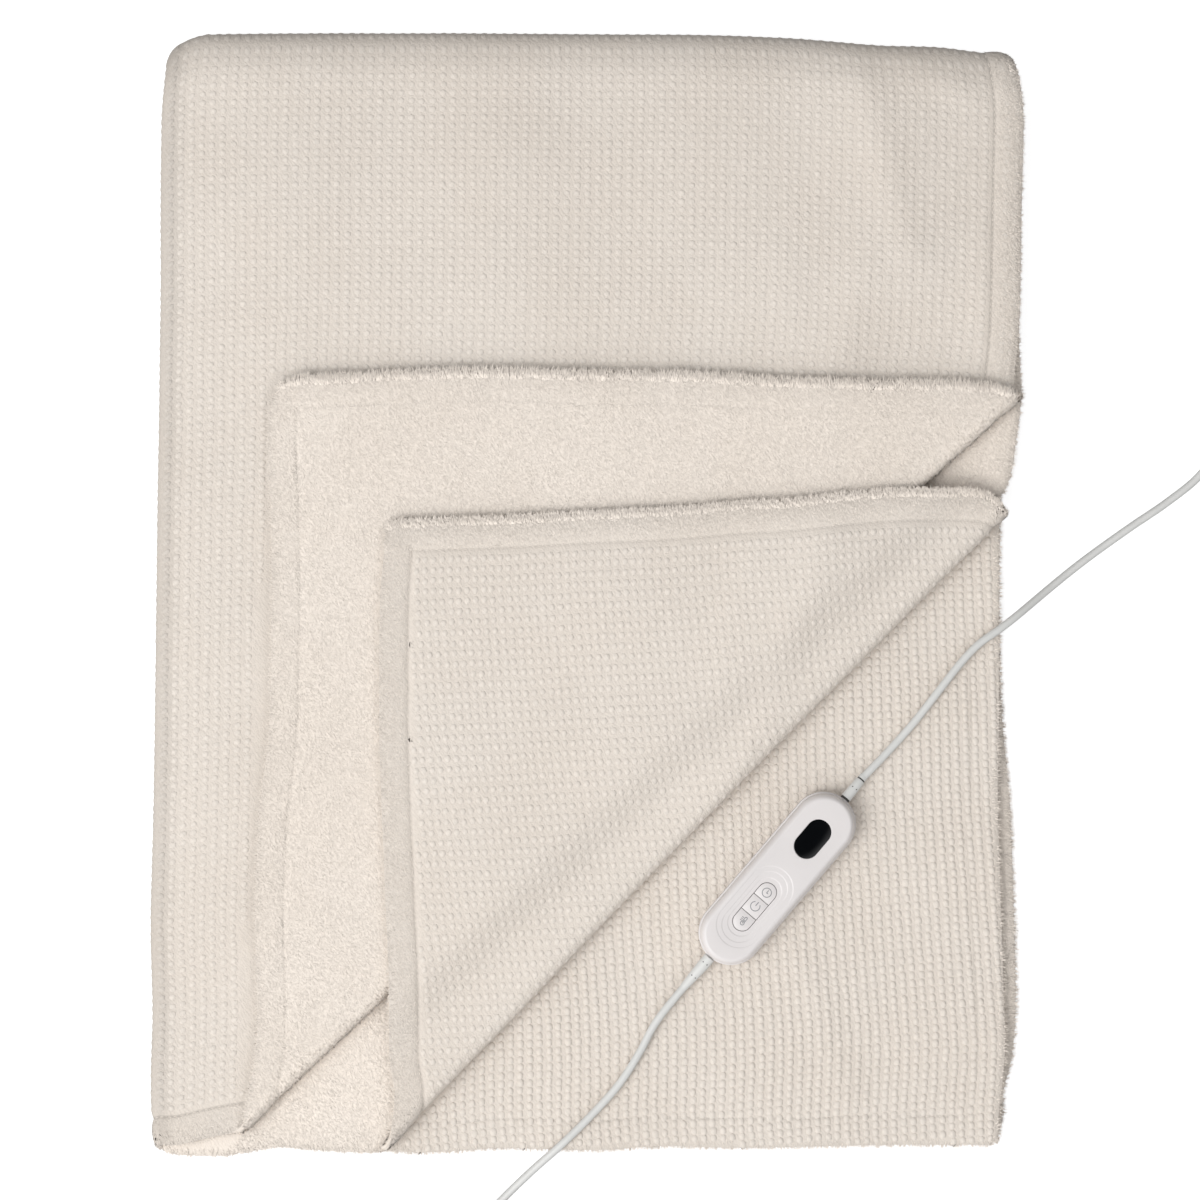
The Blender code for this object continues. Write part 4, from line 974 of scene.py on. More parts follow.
TOP_Y = TOP_FOLD_Y + TOP_FOLD_RADIUS + LEFT_FOLD_RADIUS + CLOTH / 2
# The rolls of the turned corners: both ends of their outside, and their radius
TURNED = {
    1: ((0.3003, 0.1428), (-0.2394, -0.3794), 0.004),
    2: ((0.2891, 0.0560), (-0.1274, -0.3794), 0.006),
}
CORNER_RADIUS = {1: 0.030, 2: 0.016, 3: 0.014, 4: 0.020}
CLIMB_HEIGHT, CLIMB_START, CLIMB_END = 0.012, 0.038, 0.002
LIFT_FROM, LIFT_FULL = 0.0155, 0.0270

# How far the two folded sides wander from straight: place along the side, offset
LEFT_SIDE_WANDER = (
    (-0.392, -0.0005), (-0.365, -0.0030), (-0.335, -0.0035), (-0.290, -0.0025), (-0.230, -0.0039),
    (-0.145, -0.0018), (0.060, 0.0010), (0.205, 0.0030), (0.345, 0.0038), (0.380, 0.0070),
)
TOP_SIDE_WANDER = (
    (-0.302, -0.0140), (-0.290, -0.0055), (-0.272, 0.0000), (0.044, 0.0000), (0.135, -0.0021),
    (0.205, -0.0077), (0.245, -0.0088), (0.272, -0.0119), (0.290, -0.0126), (0.303, -0.0170),
)

# The free edges as they lie, seen from above: x and y of points along each. Rows
# under "turned" are on a corner that is turned back.
RIGHT_EDGE = {
    1: {
        "flat": (
            (0.2985, 0.376), (0.3030, 0.360), (0.3059, 0.339), (0.3062, 0.320), (0.3050, 0.267),
            (0.3031, 0.184), (0.3015, 0.160), (0.2998, 0.143),
        ),
        "turned": (
            (0.2765, 0.1445), (0.2300, 0.1470), (0.1740, 0.1478), (0.1240, 0.1490),
            (0.0710, 0.1525), (-0.0105, 0.1535), (-0.0850, 0.1555), (-0.1430, 0.1535),
            (-0.2000, 0.1505),
        ),
    },
    2: {
        "flat": (
            (0.2985, 0.376), (0.3025, 0.330), (0.3030, 0.200), (0.3052, 0.143), (0.3056, 0.131),
            (0.3017, 0.100), (0.2985, 0.077), (0.2935, 0.064), (0.2888, 0.056),
        ),
        "turned": (
            (0.2720, 0.0700), (0.2352, 0.0721), (0.1939, 0.0714), (0.1323, 0.0651),
            (0.0910, 0.0625), (0.0504, 0.0588), (-0.0105, 0.0560), (-0.0644, 0.0530),
            (-0.1100, 0.0514),
        ),
    },
    3: {
        "flat": (
            (0.2985, 0.376), (0.2980, 0.330), (0.2940, 0.150), (0.2912, 0.050), (0.2912, -0.075),
            (0.2905, -0.150), (0.2925, -0.220), (0.2945, -0.285), (0.2955, -0.325),
            (0.2910, -0.370),
        ),
        "turned": (),
    },
    4: {
        "flat": (
            (0.2985, 0.376), (0.2970, 0.330), (0.2930, 0.150), (0.2895, 0.000), (0.2940, -0.095),
            (0.2995, -0.160), (0.3022, -0.230), (0.3035, -0.300), (0.3010, -0.335),
            (0.2945, -0.362),
        ),
        "turned": (),
    },
}
BOTTOM_EDGE = {
    1: {
        "flat": (
            (-0.3000, -0.3865), (-0.2849, -0.3868), (-0.2550, -0.3800),
        ),
        "turned": (
            (-0.2380, -0.3490), (-0.2324, -0.3200), (-0.2318, -0.2500), (-0.2320, -0.2010),
            (-0.2289, -0.1450), (-0.2226, -0.0910), (-0.2210, -0.0370), (-0.2205, 0.0160),
            (-0.2212, 0.0700), (-0.2233, 0.1180),
        ),
    },
    2: {
        "flat": (
            (-0.3000, -0.3915), (-0.2835, -0.3948), (-0.2527, -0.3952), (-0.2142, -0.3892),
            (-0.1953, -0.3910), (-0.1449, -0.3925),
        ),
        "turned": (
            (-0.1355, -0.3500), (-0.1393, -0.3234), (-0.1393, -0.2562), (-0.1414, -0.2121),
            (-0.1442, -0.1449), (-0.1456, -0.0910), (-0.1449, -0.0014), (-0.1420, 0.0300),
        ),
    },
    3: {
        "flat": (
            (-0.3000, -0.3885), (-0.2000, -0.3890), (-0.1176, -0.3945), (-0.0840, -0.3934),
            (-0.0609, -0.3915), (0.0140, -0.3927), (0.0588, -0.3902), (0.1141, -0.3913),
            (0.2142, -0.3893), (0.2723, -0.3890),
        ),
        "turned": (),
    },
    4: {
        "flat": (
            (-0.3000, -0.3885), (-0.1500, -0.3875), (0.0500, -0.3865), (0.2300, -0.3845),
            (0.2800, -0.3820),
        ),
        "turned": (),
    },
}

# Broad soft creases of the upper layers: both ends, half width, height
CREASES = (
    ((0.192, 0.345), (0.223, 0.247), 0.055, 0.0025),
    ((0.195, 0.228), (0.170, 0.165), 0.055, 0.0020),
    ((0.160, 0.030), (0.105, -0.120), 0.060, 0.0025),
    ((-0.060, 0.290), (-0.130, 0.215), 0.070, 0.0020),
    ((-0.180, 0.020), (-0.190, -0.130), 0.060, 0.0020),
)
# Small soft creases, by layer and by whether they are on its turned corner
SMALL_CREASES = {
    (1, False): (
        ((0.1925, 0.3626), (0.2233, 0.2471), 0.020, 0.0017),
        ((0.1911, 0.2226), (0.1743, 0.1687), 0.020, 0.0014),
        ((0.2191, 0.3815), (0.2646, 0.3591), 0.019, 0.0014),
        ((0.2765, 0.2611), (0.2765, 0.1806), 0.016, 0.0010),
        ((0.1407, 0.2324), (0.1407, 0.1918), 0.019, 0.0010),
    ),
    (2, True): (
        ((0.1673, 0.0455), (0.1071, -0.1449), 0.021, 0.0014),
        ((0.1155, 0.0252), (0.0900, -0.0483), 0.019, 0.0010),
    ),
    (3, False): (
        ((0.1540, -0.2597), (0.1841, -0.3549), 0.019, 0.0012),
    ),
}

# %% [markdown]
# ## The rule that folds the cloth
# The cloth could be draped by simulation, but the picture shows just these folds, so one rule
# takes every point of the flat cloth to where it lies: over the left fold, over the top fold,
# and back over the roll of a turned corner. The cloth, its nubs, its pile and its stitches all
# go through the same rule, so they stay together on every roll. It works on whole arrays.


# %% The fold rule
def read_table(rows, place):
    """A smooth curve through the rows, level past both ends, read at many places."""
    xs, ys = np.array(rows, float).T
    slopes = np.empty_like(ys)
    slopes[1:-1] = (ys[2:] - ys[:-2]) / (xs[2:] - xs[:-2])
    slopes[0] = (ys[1] - ys[0]) / (xs[1] - xs[0])
    slopes[-1] = (ys[-1] - ys[-2]) / (xs[-1] - xs[-2])
    place = np.clip(place, xs[0], xs[-1])
    i = np.clip(np.searchsorted(xs, place, side="right") - 1, 0, len(xs) - 2)
    span = xs[i + 1] - xs[i]
    t = (place - xs[i]) / span
    return (
        ys[i] * (1 + 2 * t) * (1 - t) ** 2
        + slopes[i] * span * t * (1 - t) ** 2
        + ys[i + 1] * t * t * (3 - 2 * t)
        + slopes[i + 1] * span * t * t * (t - 1)
    )


def wander(x, y):
    """How far the folded sides' wander moves a place, fading to the free edges."""
    across = np.clip((x - LEFT_X) / (RIGHT_X - LEFT_X), 0.0, 1.0)
    down = np.clip((TOP_Y - y) / (TOP_Y - BOTTOM_Y), 0.0, 1.0)
    return (
        read_table(LEFT_SIDE_WANDER, y) * (1 - across),
        read_table(TOP_SIDE_WANDER, x) * (1 - down),
    )


class TurnedCorner:
    """One layer's corner, rolled up and laid back over a straight line."""

    def __init__(self, start, end, radius):
        self.radius = radius
        self.arc = math.pi * radius
        along = np.subtract(end, start)
        along /= np.hypot(*along)
        self.outward = np.array((-along[1], along[0]))
        self.edge = np.array(start)
        self.hinge = self.edge - self.outward * (radius + CLOTH / 2)

    def past_hinge(self, x, y):
        """Distance past the line where the cloth starts to roll up."""
        return (x - self.hinge[0]) * self.outward[0] + (y - self.hinge[1]) * self.outward[1]

    def past_edge(self, x, y):
        """Distance past the outside of the roll."""
        return (x - self.edge[0]) * self.outward[0] + (y - self.edge[1]) * self.outward[1]

    def unturn(self, x, y):
        """Where a place seen on the turned corner was while the layer lay flat."""
        back = self.arc - 2 * self.past_hinge(x, y)
        return x + self.outward[0] * back, y + self.outward[1] * back

    def turn(self, x, y, middle, above):
        """Turn points of the layer, given as heights above the layer's middle."""
        past = self.past_hinge(x, y)
        reach = self.radius - above
        angle = np.clip(past / self.radius, 0.0, math.pi)
        out = np.where(past < self.arc, reach * np.sin(angle), self.arc - past)
        up = np.where(past < self.arc, self.radius - reach * np.cos(angle), self.radius + reach)
        flat = past <= 0
        shift = np.where(flat, 0.0, out - past)
        return (
            x + self.outward[0] * shift,
            y + self.outward[1] * shift,
            middle + np.where(flat, above, up),
        )


CORNERS = {layer: TurnedCorner(*line) for layer, line in TURNED.items()}
LAYER_MIDDLE = {layer: CLOTH / 2 + (4 - layer) * LAYER_STEP for layer in (1, 2, 3, 4)}


def edge_offsets(edges, layer, along, across, nominal, sign):
    """Rows of place along a free edge and how far it lies past its nominal line."""
    rows = []
    for x, y in edges[layer]["flat"] + edges[layer]["turned"]:
        move_x, move_y = wander(x, y)
        place = (x - move_x, y - move_y)
        if (x, y) in edges[layer]["turned"]:
            place = CORNERS[layer].unturn(*place)
        rows.append((place[along], sign * (place[across] - nominal)))
    return sorted(rows)


RIGHT_OFFSETS = {k: edge_offsets(RIGHT_EDGE, k, 1, 0, RIGHT_X, 1) for k in RIGHT_EDGE}
BOTTOM_OFFSETS = {k: edge_offsets(BOTTOM_EDGE, k, 0, 1, BOTTOM_Y, -1) for k in BOTTOM_EDGE}


def layer_weights(s, t):
    """How much a flat place belongs to each layer: one of them, or two on a roll."""
    right = 0.5 + 0.5 * np.clip(s / LEFT_ARC, -1.0, 1.0)
    front = 0.5 + 0.5 * np.clip(t / TOP_ARC, -1.0, 1.0)
    left, back = 1 - right, 1 - front
    return {1: right * front, 2: left * front, 3: left * back, 4: right * back}


def by_layer(s, t, values):
    """Each layer's value, mixed by how much a flat place belongs to it."""
    weights = layer_weights(s, t)
    return sum(weights[k] * values[k] for k in weights)


def layer_of(s, t):
    """The layer of each flat place, where no roll blurs it."""
    return np.where(t > 0, np.where(s > 0, 1, 2), np.where(s > 0, 4, 3))


def seen_flat(s, t):
    """A flat place as seen from above, before anything is turned."""
    return LEFT_FOLD_X + np.abs(s) - LEFT_ARC, TOP_FOLD_Y - np.abs(t) + TOP_ARC


def shape_flat(s, t):
    """Round the cut sheet's corners and give its free edges their uneven outline."""
    radius = by_layer(s, t, CORNER_RADIUS)
    in_s, in_t = np.abs(s), np.abs(t)
    u = np.clip((in_s - (HALF_WIDTH - radius)) / radius, 0.0, 1.0)
    v = np.clip((in_t - (HALF_LENGTH - radius)) / radius, 0.0, 1.0)
    x, y = seen_flat(s, t)
    grow_s = by_layer(s, t, {k: read_table(rows, y) for k, rows in RIGHT_OFFSETS.items()})
    grow_t = by_layer(s, t, {k: read_table(rows, x) for k, rows in BOTTOM_OFFSETS.items()})
    in_s = in_s + radius * u * (np.sqrt(1 - v * v / 2) - 1) + grow_s * in_s / HALF_WIDTH
    in_t = in_t + radius * v * (np.sqrt(1 - u * u / 2) - 1) + grow_t * in_t / HALF_LENGTH
    return np.copysign(in_s, s), np.copysign(in_t, t)


def crease_lift(x, y, creases):
    """Height of soft creases over a place."""
    lift = np.zeros_like(x)
    for start, end, half_width, height in creases:
        line = np.subtract(end, start)
        share = ((x - start[0]) * line[0] + (y - start[1]) * line[1]) / (line @ line)
        share = np.clip(share, 0.0, 1.0)
        away = np.hypot(x - start[0] - line[0] * share, y - start[1] - line[1] * share)
        lift = lift + height * (1 - smooth(away, 0.0, half_width))
    return lift


# Soft waves of the lying cloth: length, direction in degrees, height, phase
WAVES = (
    (0.150, 18.0, 0.00060, 0.3),
    (0.105, 97.0, 0.00045, 1.9),
    (0.070, 141.0, 0.00020, 4.0),
)


def soft_waves(x, y):
    rise = np.zeros_like(x)
    for length, direction, height, phase in WAVES:
        angle = math.radians(direction)
        place = x * math.cos(angle) + y * math.sin(angle)
        bend = 0.6 * np.sin(math.tau * (x * math.sin(angle) - y * math.cos(angle)) / (2.3 * length))
        rise = rise + height * np.sin(math.tau * place / length + phase + bend)
    return rise


def fold(s, t, n):
    """Where points of the flat cloth lie: s across, t along, n above its middle."""
    s, t, n = (np.asarray(value, float) for value in (s, t, n))
    bend = np.clip(s / LEFT_FOLD_RADIUS, -math.pi / 2, math.pi / 2)
    on_roll = np.abs(s) <= LEFT_ARC
    x_flat, y_flat = seen_flat(s, t)
    reach = LEFT_FOLD_RADIUS + n
    x = np.where(on_roll, LEFT_FOLD_X - reach * np.cos(bend), x_flat)
    height = reach * np.where(on_roll, np.sin(bend), np.sign(s))
    bend = np.clip(t / TOP_FOLD_RADIUS, -math.pi / 2, math.pi / 2)
    on_top_roll = np.abs(t) <= TOP_ARC
    reach = TOP_FOLD_RADIUS + height
    y = np.where(on_top_roll, TOP_FOLD_Y + reach * np.cos(bend), y_flat)
    z = STACK_MIDDLE + reach * np.where(on_top_roll, np.sin(bend), np.sign(t))
    turned = {}
    for layer, corner in CORNERS.items():
        side = s > LEFT_ARC if layer == 1 else s < -LEFT_ARC
        mine = side & (t > TOP_ARC)
        turned[layer] = mine & (corner.past_hinge(x, y) > corner.arc)
        moved = corner.turn(x, y, LAYER_MIDDLE[layer], z - LAYER_MIDDLE[layer])
        x, y, z = (np.where(mine, new, old) for new, old in zip(moved, (x, y, z)))
    away = CORNERS[1].past_edge(x, y)
    z = z + np.where(turned[2], CLIMB_HEIGHT * (1 - smooth(away, CLIMB_END, CLIMB_START)), 0.0)
    move_x, move_y = wander(x, y)
    free = smooth(z, LIFT_FROM, LIFT_FULL)
    z = z + crease_lift(x, y, CREASES) * free
    for (layer, on_corner), creases in SMALL_CREASES.items():
        weight = layer_weights(s, t)[layer]
        if layer in CORNERS:
            weight = weight * (turned[layer] == on_corner)
        z = z + weight * crease_lift(x, y, creases)
    z = z + soft_waves(x, y) * smooth(z, CLOTH, 2 * LAYER_STEP)
    return np.stack((x + move_x, y + move_y, z), axis=-1)


# %% [markdown]
# ## The colour and pile of the cloth
# The fleece is cream with a hint of peach, and short pile makes its edges light: that is what
# the shader's sheen does. Broad mottles, fine streaks as of fibres and a fuzzy bump break its
# tone. Every cloth mesh carries a number at its points, "tone", so that each nub and lock
# differs a little from the next. The same number carries painted shade along the seams, at the
# cut edges, over the folds, at the nubs' feet and at the stitches' ends, and painted light on
# the nubs' tops, on the fringe's needles and on the second layer's sherpa strip.

# %% Cloth materials
NUB_CREAM, NUB_DEEP = (0.722, 0.663, 0.602), (0.710, 0.649, 0.586)
GROUND_CREAM, GROUND_DEEP = (0.713, 0.650, 0.585), (0.700, 0.634, 0.567)
SHERPA_CREAM, SHERPA_DEEP = (0.840, 0.762, 0.684), (0.825, 0.745, 0.665)
FIBRE_SCALE, FIBRE_LENGTH, FIBRE_TURN = 800.0, 3.0, math.radians(35.0)
FIBRE_HEIGHT = 0.00035


def cloth_material(name, light, deep, grain_scale, grain_height, sheen, fibre):
    """Cloth whose tone is multiplied by the mesh's own attribute and by fine streaks."""
    material = surface_material(
        name, light, deep, 14.0, grain_scale, grain_height, 0.95,
        Sheen_Weight=sheen, Sheen_Roughness=0.55, Specular_IOR_Level=0.15,
    )
    tree = material.node_tree
    shader = tree.nodes["Principled BSDF"].inputs
    effect = next(node for node in tree.nodes if node.type == "GROUP").outputs
    tone = add_node(tree, "ShaderNodeAttribute", attribute_name="tone").outputs["Fac"]
    place = add_node(tree, "ShaderNodeTexCoord").outputs["Object"]
    inputs = {"Vector": place, "Rotation": (0.0, 0.0, FIBRE_TURN), "Scale": (1.0, FIBRE_LENGTH, 1.0)}
    stretch = add_node(tree, "ShaderNodeMapping", inputs, vector_type="TEXTURE")
    streaks = add_noise(tree, stretch.outputs["Vector"], FIBRE_SCALE, 2.0)
    inputs = {"Value": streaks, "From Min": 0.32, "From Max": 0.68}
    inputs |= {"To Min": 1 - fibre, "To Max": 1 + fibre}
    shade = add_node(tree, "ShaderNodeMapRange", inputs).outputs["Result"]
    product = add_node(tree, "ShaderNodeMath", {0: tone, 1: shade}, operation="MULTIPLY")
    inputs = {"Vector": effect["Color"], "Scale": product.outputs["Value"]}
    scale = add_node(tree, "ShaderNodeVectorMath", inputs, operation="SCALE")
    tree.links.new(scale.outputs["Vector"], shader["Base Color"])
    inputs = {"Strength": 1.0, "Distance": FIBRE_HEIGHT, "Height": streaks}
    bump = add_node(tree, "ShaderNodeBump", {**inputs, "Normal": effect["Normal"]})
    tree.links.new(bump.outputs["Normal"], shader["Normal"])
    return material


# Light tone, deep tone, grain scale, grain height, sheen, depth of the streaks
fleece_ground = cloth_material(
    "fleece_ground", GROUND_CREAM, GROUND_DEEP, 900.0, 0.0004, 0.10, 0.055
)
fleece_nub = cloth_material("fleece_nub", NUB_CREAM, NUB_DEEP, 1600.0, 0.0002, 0.10, 0.055)
sherpa_ground = cloth_material(
    "sherpa_ground", SHERPA_CREAM, SHERPA_DEEP, 700.0, 0.0004, 0.14, 0.03
)
sherpa_pile = cloth_material("sherpa_pile", SHERPA_CREAM, SHERPA_DEEP, 1800.0, 0.0001, 0.14, 0.0)
hem_thread = cloth_material("hem_thread", NUB_CREAM, GROUND_DEEP, 2500.0, 0.0001, 0.1, 0.0)

# %% [markdown]
# ## The throw itself
# One grid is cut along every line where the cloth bends: both folds, both rolls, the hem. The
# sheet then gets its thickness by extruding all its faces, and the fold rule lays it down. Its
# outline stays a few millimetres inside, since the pile at the edge fills the rest. The hem is
# part of the cloth: it swells between the edge and its seam, and the seam pinches it.

# %% The throw
CELL, EDGE_INSET, SNAP = 0.009, 0.0018, 0.0004
NUB_SIDE, SHERPA_SIDE, FLOOR_SIDE = 0.0026, 0.0033, 0.0034
ROLL_LINES, TOP_ROLL_LINES, CLIMB_LINES = 8, 10, 4
PUCKER_SWAY, PUCKER_WAVES = 2.0, 37.0
# The hem across: distance from the cut edge, share of the full thickness
HEM_PROFILE = (
    (0.0000, 0.32), (0.0010, 0.46), (0.0030, 0.74), (0.0060, 0.96), (0.0100, 1.00), (0.0165, 1.00),
    (0.0192, 0.90), (0.0208, 0.72), (0.0220, 0.50), (0.0232, 0.72), (0.0250, 0.90), (0.0290, 1.00),
)
HEM_LINES = (
    0.0022, 0.0038, 0.0060, 0.0100, 0.0145, 0.0180, 0.0204,
    0.0214, 0.0220, 0.0226, 0.0236, 0.0260, 0.0300,
)
# How puffed the hem is on both faces, and how deep each layer's seam is
HEM_PUFF = {"nub": 0.24, "pile": 0.10}
SEAM_DEPTH = {1: 0.9, 2: 1.0, 3: 0.35, 4: 0.5}
# Shares of that depth at the long sides' seams and at the ends' seams, on both faces
SEAM_SHARES = {"nub": (0.55, 1.0), "pile": (0.10, 0.60)}
# The seam's line of painted shade: how dark on each layer's nub side and pile side, its half width
SEAM_PAINTED_SHADE = {"nub": {1: 0.30, 2: 0.14, 3: 0.20, 4: 0.20}, "pile": {1: 0.10, 2: 0.0, 3: 0.0, 4: 0.0}}
SEAM_REACH = 0.0012
# Painted shade along the cut edges: how much dimmer, and how far in it fades
EDGE_PAINTED_SHADE, EDGE_REACH = 0.10, 0.0070
# Painted shade over the two folds, and a broad one near the top fold: how much dimmer,
# level up to, faded out at, from the fold's line
LEFT_FOLD_PAINTED_SHADE = (0.17, 0.006, 0.016)
TOP_FOLD_PAINTED_SHADE = (0.15, 0.012, 0.034)
TOP_BROAD_PAINTED_SHADE = (0.03, 0.030, 0.220)
# Painted light: the second layer's sherpa strip is made lighter, against the rolls' shade on it
STRIP_PAINTED_LIGHT = 1.045
# Painted shade on the pile face near its cut edges: how much dimmer, level up to, faded out at
PILE_EDGE_PAINTED_SHADE = (0.05, 0.004, 0.030)
PUCKER_PITCH, PUCKER_DEPTH, PUCKER_REACH = 0.038, 0.05, 0.016


def cut(bm, faces, point, normal):
    """Cut faces along a line of the flat cloth, so that a bend can follow it."""
    edges = {edge for face in faces for edge in face.edges}
    verts = {vert for face in faces for vert in face.verts}
    bmesh.ops.bisect_plane(
        bm, geom=[*verts, *edges, *faces], dist=SNAP, plane_co=(*point, 0.0), plane_no=(*normal, 0.0)
    )


def cut_straight_lines(bm):
    """Lines of the two folds and of the hems, right across the cloth."""
    places_s = [LEFT_ARC * (2 * k / ROLL_LINES - 1) for k in range(ROLL_LINES + 1)]
    places_t = [TOP_ARC * (2 * k / TOP_ROLL_LINES - 1) for k in range(TOP_ROLL_LINES + 1)]
    for inside in HEM_LINES:
        places_s += [HALF_WIDTH - inside, inside - HALF_WIDTH]
        places_t += [HALF_LENGTH - inside, inside - HALF_LENGTH]
    for place in places_s:
        cut(bm, bm.faces[:], (place, 0.0), (1.0, 0.0))
    for place in places_t:
        cut(bm, bm.faces[:], (0.0, place), (0.0, 1.0))


def cut_layer_line(bm, layer, point, normal):
    """A line on one upper layer, given as it lies flat and seen from above."""
    side = 1.0 if layer == 1 else -1.0
    middles = [(face, face.calc_center_median()) for face in bm.faces]
    faces = [face for face, at in middles if at.x * side > LEFT_ARC and at.y > TOP_ARC]
    place = (side * (point[0] - LEFT_FOLD_X + LEFT_ARC), TOP_FOLD_Y + TOP_ARC - point[1])
    cut(bm, faces, place, (normal[0] * side, -normal[1]))


def cut_turned_lines(bm):
    """Lines along the rolls of both turned corners, and where the second one climbs."""
    for layer, corner in CORNERS.items():
        for k in range(ROLL_LINES + 1):
            point = corner.hinge + corner.outward * corner.arc * k / ROLL_LINES
            cut_layer_line(bm, layer, point, corner.outward)
    first, second = CORNERS[1], CORNERS[2]
    turned_normal = first.outward - 2 * (first.outward @ second.outward) * second.outward
    for k in range(CLIMB_LINES + 1):
        away = CLIMB_END + (CLIMB_START - CLIMB_END) * k / CLIMB_LINES
        place = first.edge + first.outward * away
        cut_layer_line(bm, 2, second.unturn(*place), turned_normal)


def from_edges(s, t):
    """Distance in from the nearest cut edge, and whether that is a long side."""
    from_side, from_end = HALF_WIDTH - np.abs(s), HALF_LENGTH - np.abs(t)
    return np.minimum(from_side, from_end), from_side < from_end


def hem_share(s, t, face):
    """The thickness near the free edges, as a share, with the seam's small puckers."""
    inside, at_side = from_edges(s, t)
    seam = 1 - smooth(np.abs(inside - HEM_WIDTH), 0.0, PUCKER_REACH)
    along = np.where(at_side, t, s)
    wave = np.sin(math.tau * along / PUCKER_PITCH + PUCKER_SWAY * np.sin(along * PUCKER_WAVES))
    depth = by_layer(s, t, SEAM_DEPTH) * np.where(at_side, *SEAM_SHARES[face])
    if face == "pile":
        depth = depth * (1 - 0.8 * layer_weights(s, t)[2])
    share = read_table(HEM_PROFILE, inside)
    share = np.where(inside > HEM_WIDTH / 2, 1 - (1 - share) * depth, share)
    return share * (1 - PUCKER_DEPTH * seam * wave)


def surface_height(s, t, face="nub"):
    """How far the cloth's nub face lies above, or its pile face below, the middle."""
    inside, _ = from_edges(s, t)
    weight = layer_weights(s, t)
    puff = HEM_PUFF[face] * smooth(inside, 0.002, 0.008) * (1 - smooth(inside, 0.012, HEM_WIDTH))
    share = hem_share(s, t, face)
    if face == "pile":
        return -SHERPA_SIDE * share * (1 + puff)
    height = NUB_SIDE + (FLOOR_SIDE - NUB_SIDE) * weight[4]
    return height * share * (1 + puff * (weight[1] + weight[2]))


def place_painted_shade_and_light(s, t, face="nub"):
    """Painted shade over the folds; on the pile, at the cut edges, and painted light on layer 2."""
    if face == "pile":
        painted_shades = ((from_edges(s, t)[0], PILE_EDGE_PAINTED_SHADE),)
        tone = 1 + (STRIP_PAINTED_LIGHT - 1) * layer_weights(s, t)[2]
    else:
        painted_shades = ((s, LEFT_FOLD_PAINTED_SHADE), (t, TOP_FOLD_PAINTED_SHADE), (t, TOP_BROAD_PAINTED_SHADE))
        tone = 1.0
    for away, (depth, level, faded) in painted_shades:
        tone = tone * (1 - depth * (1 - smooth(np.abs(away), level, faded)))
    return tone


def ground_painted_shade_and_light(s, t, face):
    """Painted shade and light of the sheet: the place's, dimmer along the seams and at the cut edges.
    """
    inside, _ = from_edges(s, t)
    seam = 1 - smooth(np.abs(inside - HEM_WIDTH), 0.0, SEAM_REACH)
    edge = 1 - smooth(inside, 0.0, EDGE_REACH)
    dark = by_layer(s, t, SEAM_PAINTED_SHADE[face])
    return (1 - dark * seam - EDGE_PAINTED_SHADE * edge) * place_painted_shade_and_light(s, t, face)


def points_of(bm):
    return np.array([vert.co for vert in bm.verts])


def build_throw():
    bm = bmesh.new()
    bmesh.ops.create_grid(
        bm, x_segments=2 * round(HALF_WIDTH / CELL), y_segments=2 * round(HALF_LENGTH / CELL), size=0.5
    )
    size = (FLAT_WIDTH - 2 * EDGE_INSET, FLAT_LENGTH - 2 * EDGE_INSET, 1.0)
    bmesh.ops.scale(bm, verts=bm.verts[:], vec=size)
    cut_straight_lines(bm)
    flat = points_of(bm)
    cut_place = bm.verts.layers.float_vector.new("cut_place")
    tone = bm.verts.layers.float.new("tone")
    for vert, s, t in zip(bm.verts, *shape_flat(flat[:, 0], flat[:, 1])):
        vert[cut_place] = vert.co
        vert.co = (s, t, 0.0)
    cut_turned_lines(bm)
    lower_faces = set(bm.faces)
    bmesh.ops.extrude_face_region(bm, geom=bm.faces[:])
    lower_verts = {vert for face in lower_faces for vert in face.verts}
    pile_side = np.array([vert in lower_verts for vert in bm.verts])
    for face in bm.faces:
        face.material_index = int(not lower_verts.isdisjoint(face.verts))
    here = points_of(bm)
    s, t, _ = np.array([vert[cut_place] for vert in bm.verts]).T
    n = np.where(pile_side, surface_height(s, t, "pile"), surface_height(s, t))
    lying = fold(here[:, 0], here[:, 1], n)
    # The sheet's painted shade and light, kept in its tone
    tones = np.where(pile_side, ground_painted_shade_and_light(s, t, "pile"), ground_painted_shade_and_light(s, t, "nub"))
    for vert, place, value in zip(bm.verts, lying, tones):
        vert.co = place
        vert[tone] = value
    return make_piece(
        "throw", bm, [fleece_ground, sherpa_ground], "cream_fleece", stands_for=["blanket"],
        smooth_angle=80.0,
    )


throw = build_throw()

# %% [markdown]
# ## Many small things at once
# A nub or a lock of pile is a few dozen faces, and there are thousands. Each is made once with
# bmesh, then its points are repeated in one array, moved to their places on the flat cloth and
# folded with it. The throw is a little faceted, so they also settle onto its facets, and a lock
# is shaded mostly by the way that the cloth under it faces, as fine pile is. The fold rule
# mirrors the cloth, so the faces are flipped at the end.


# %% Repeat a small piece
OWN_SHARE, FACETS_REACH = 0.35, 0.0016


def throw_facets():
    bm = bmesh.new()
    bm.from_mesh(throw.data)
    tree = BVHTree.FromBMesh(bm)
    bm.free()
    return tree


facets = throw_facets()


def to_facets(anchors):
    """How far the throw's flat facets lie from places on its true surface.

    Where another fold lies nearer than the own face, the answer is too long and isn't used.
    """
    true = fold(*anchors.T)
    away = np.array([facets.find_nearest(place)[0] for place in true]) - true
    away[np.linalg.norm(away, axis=1) > FACETS_REACH] = 0.0
    return away


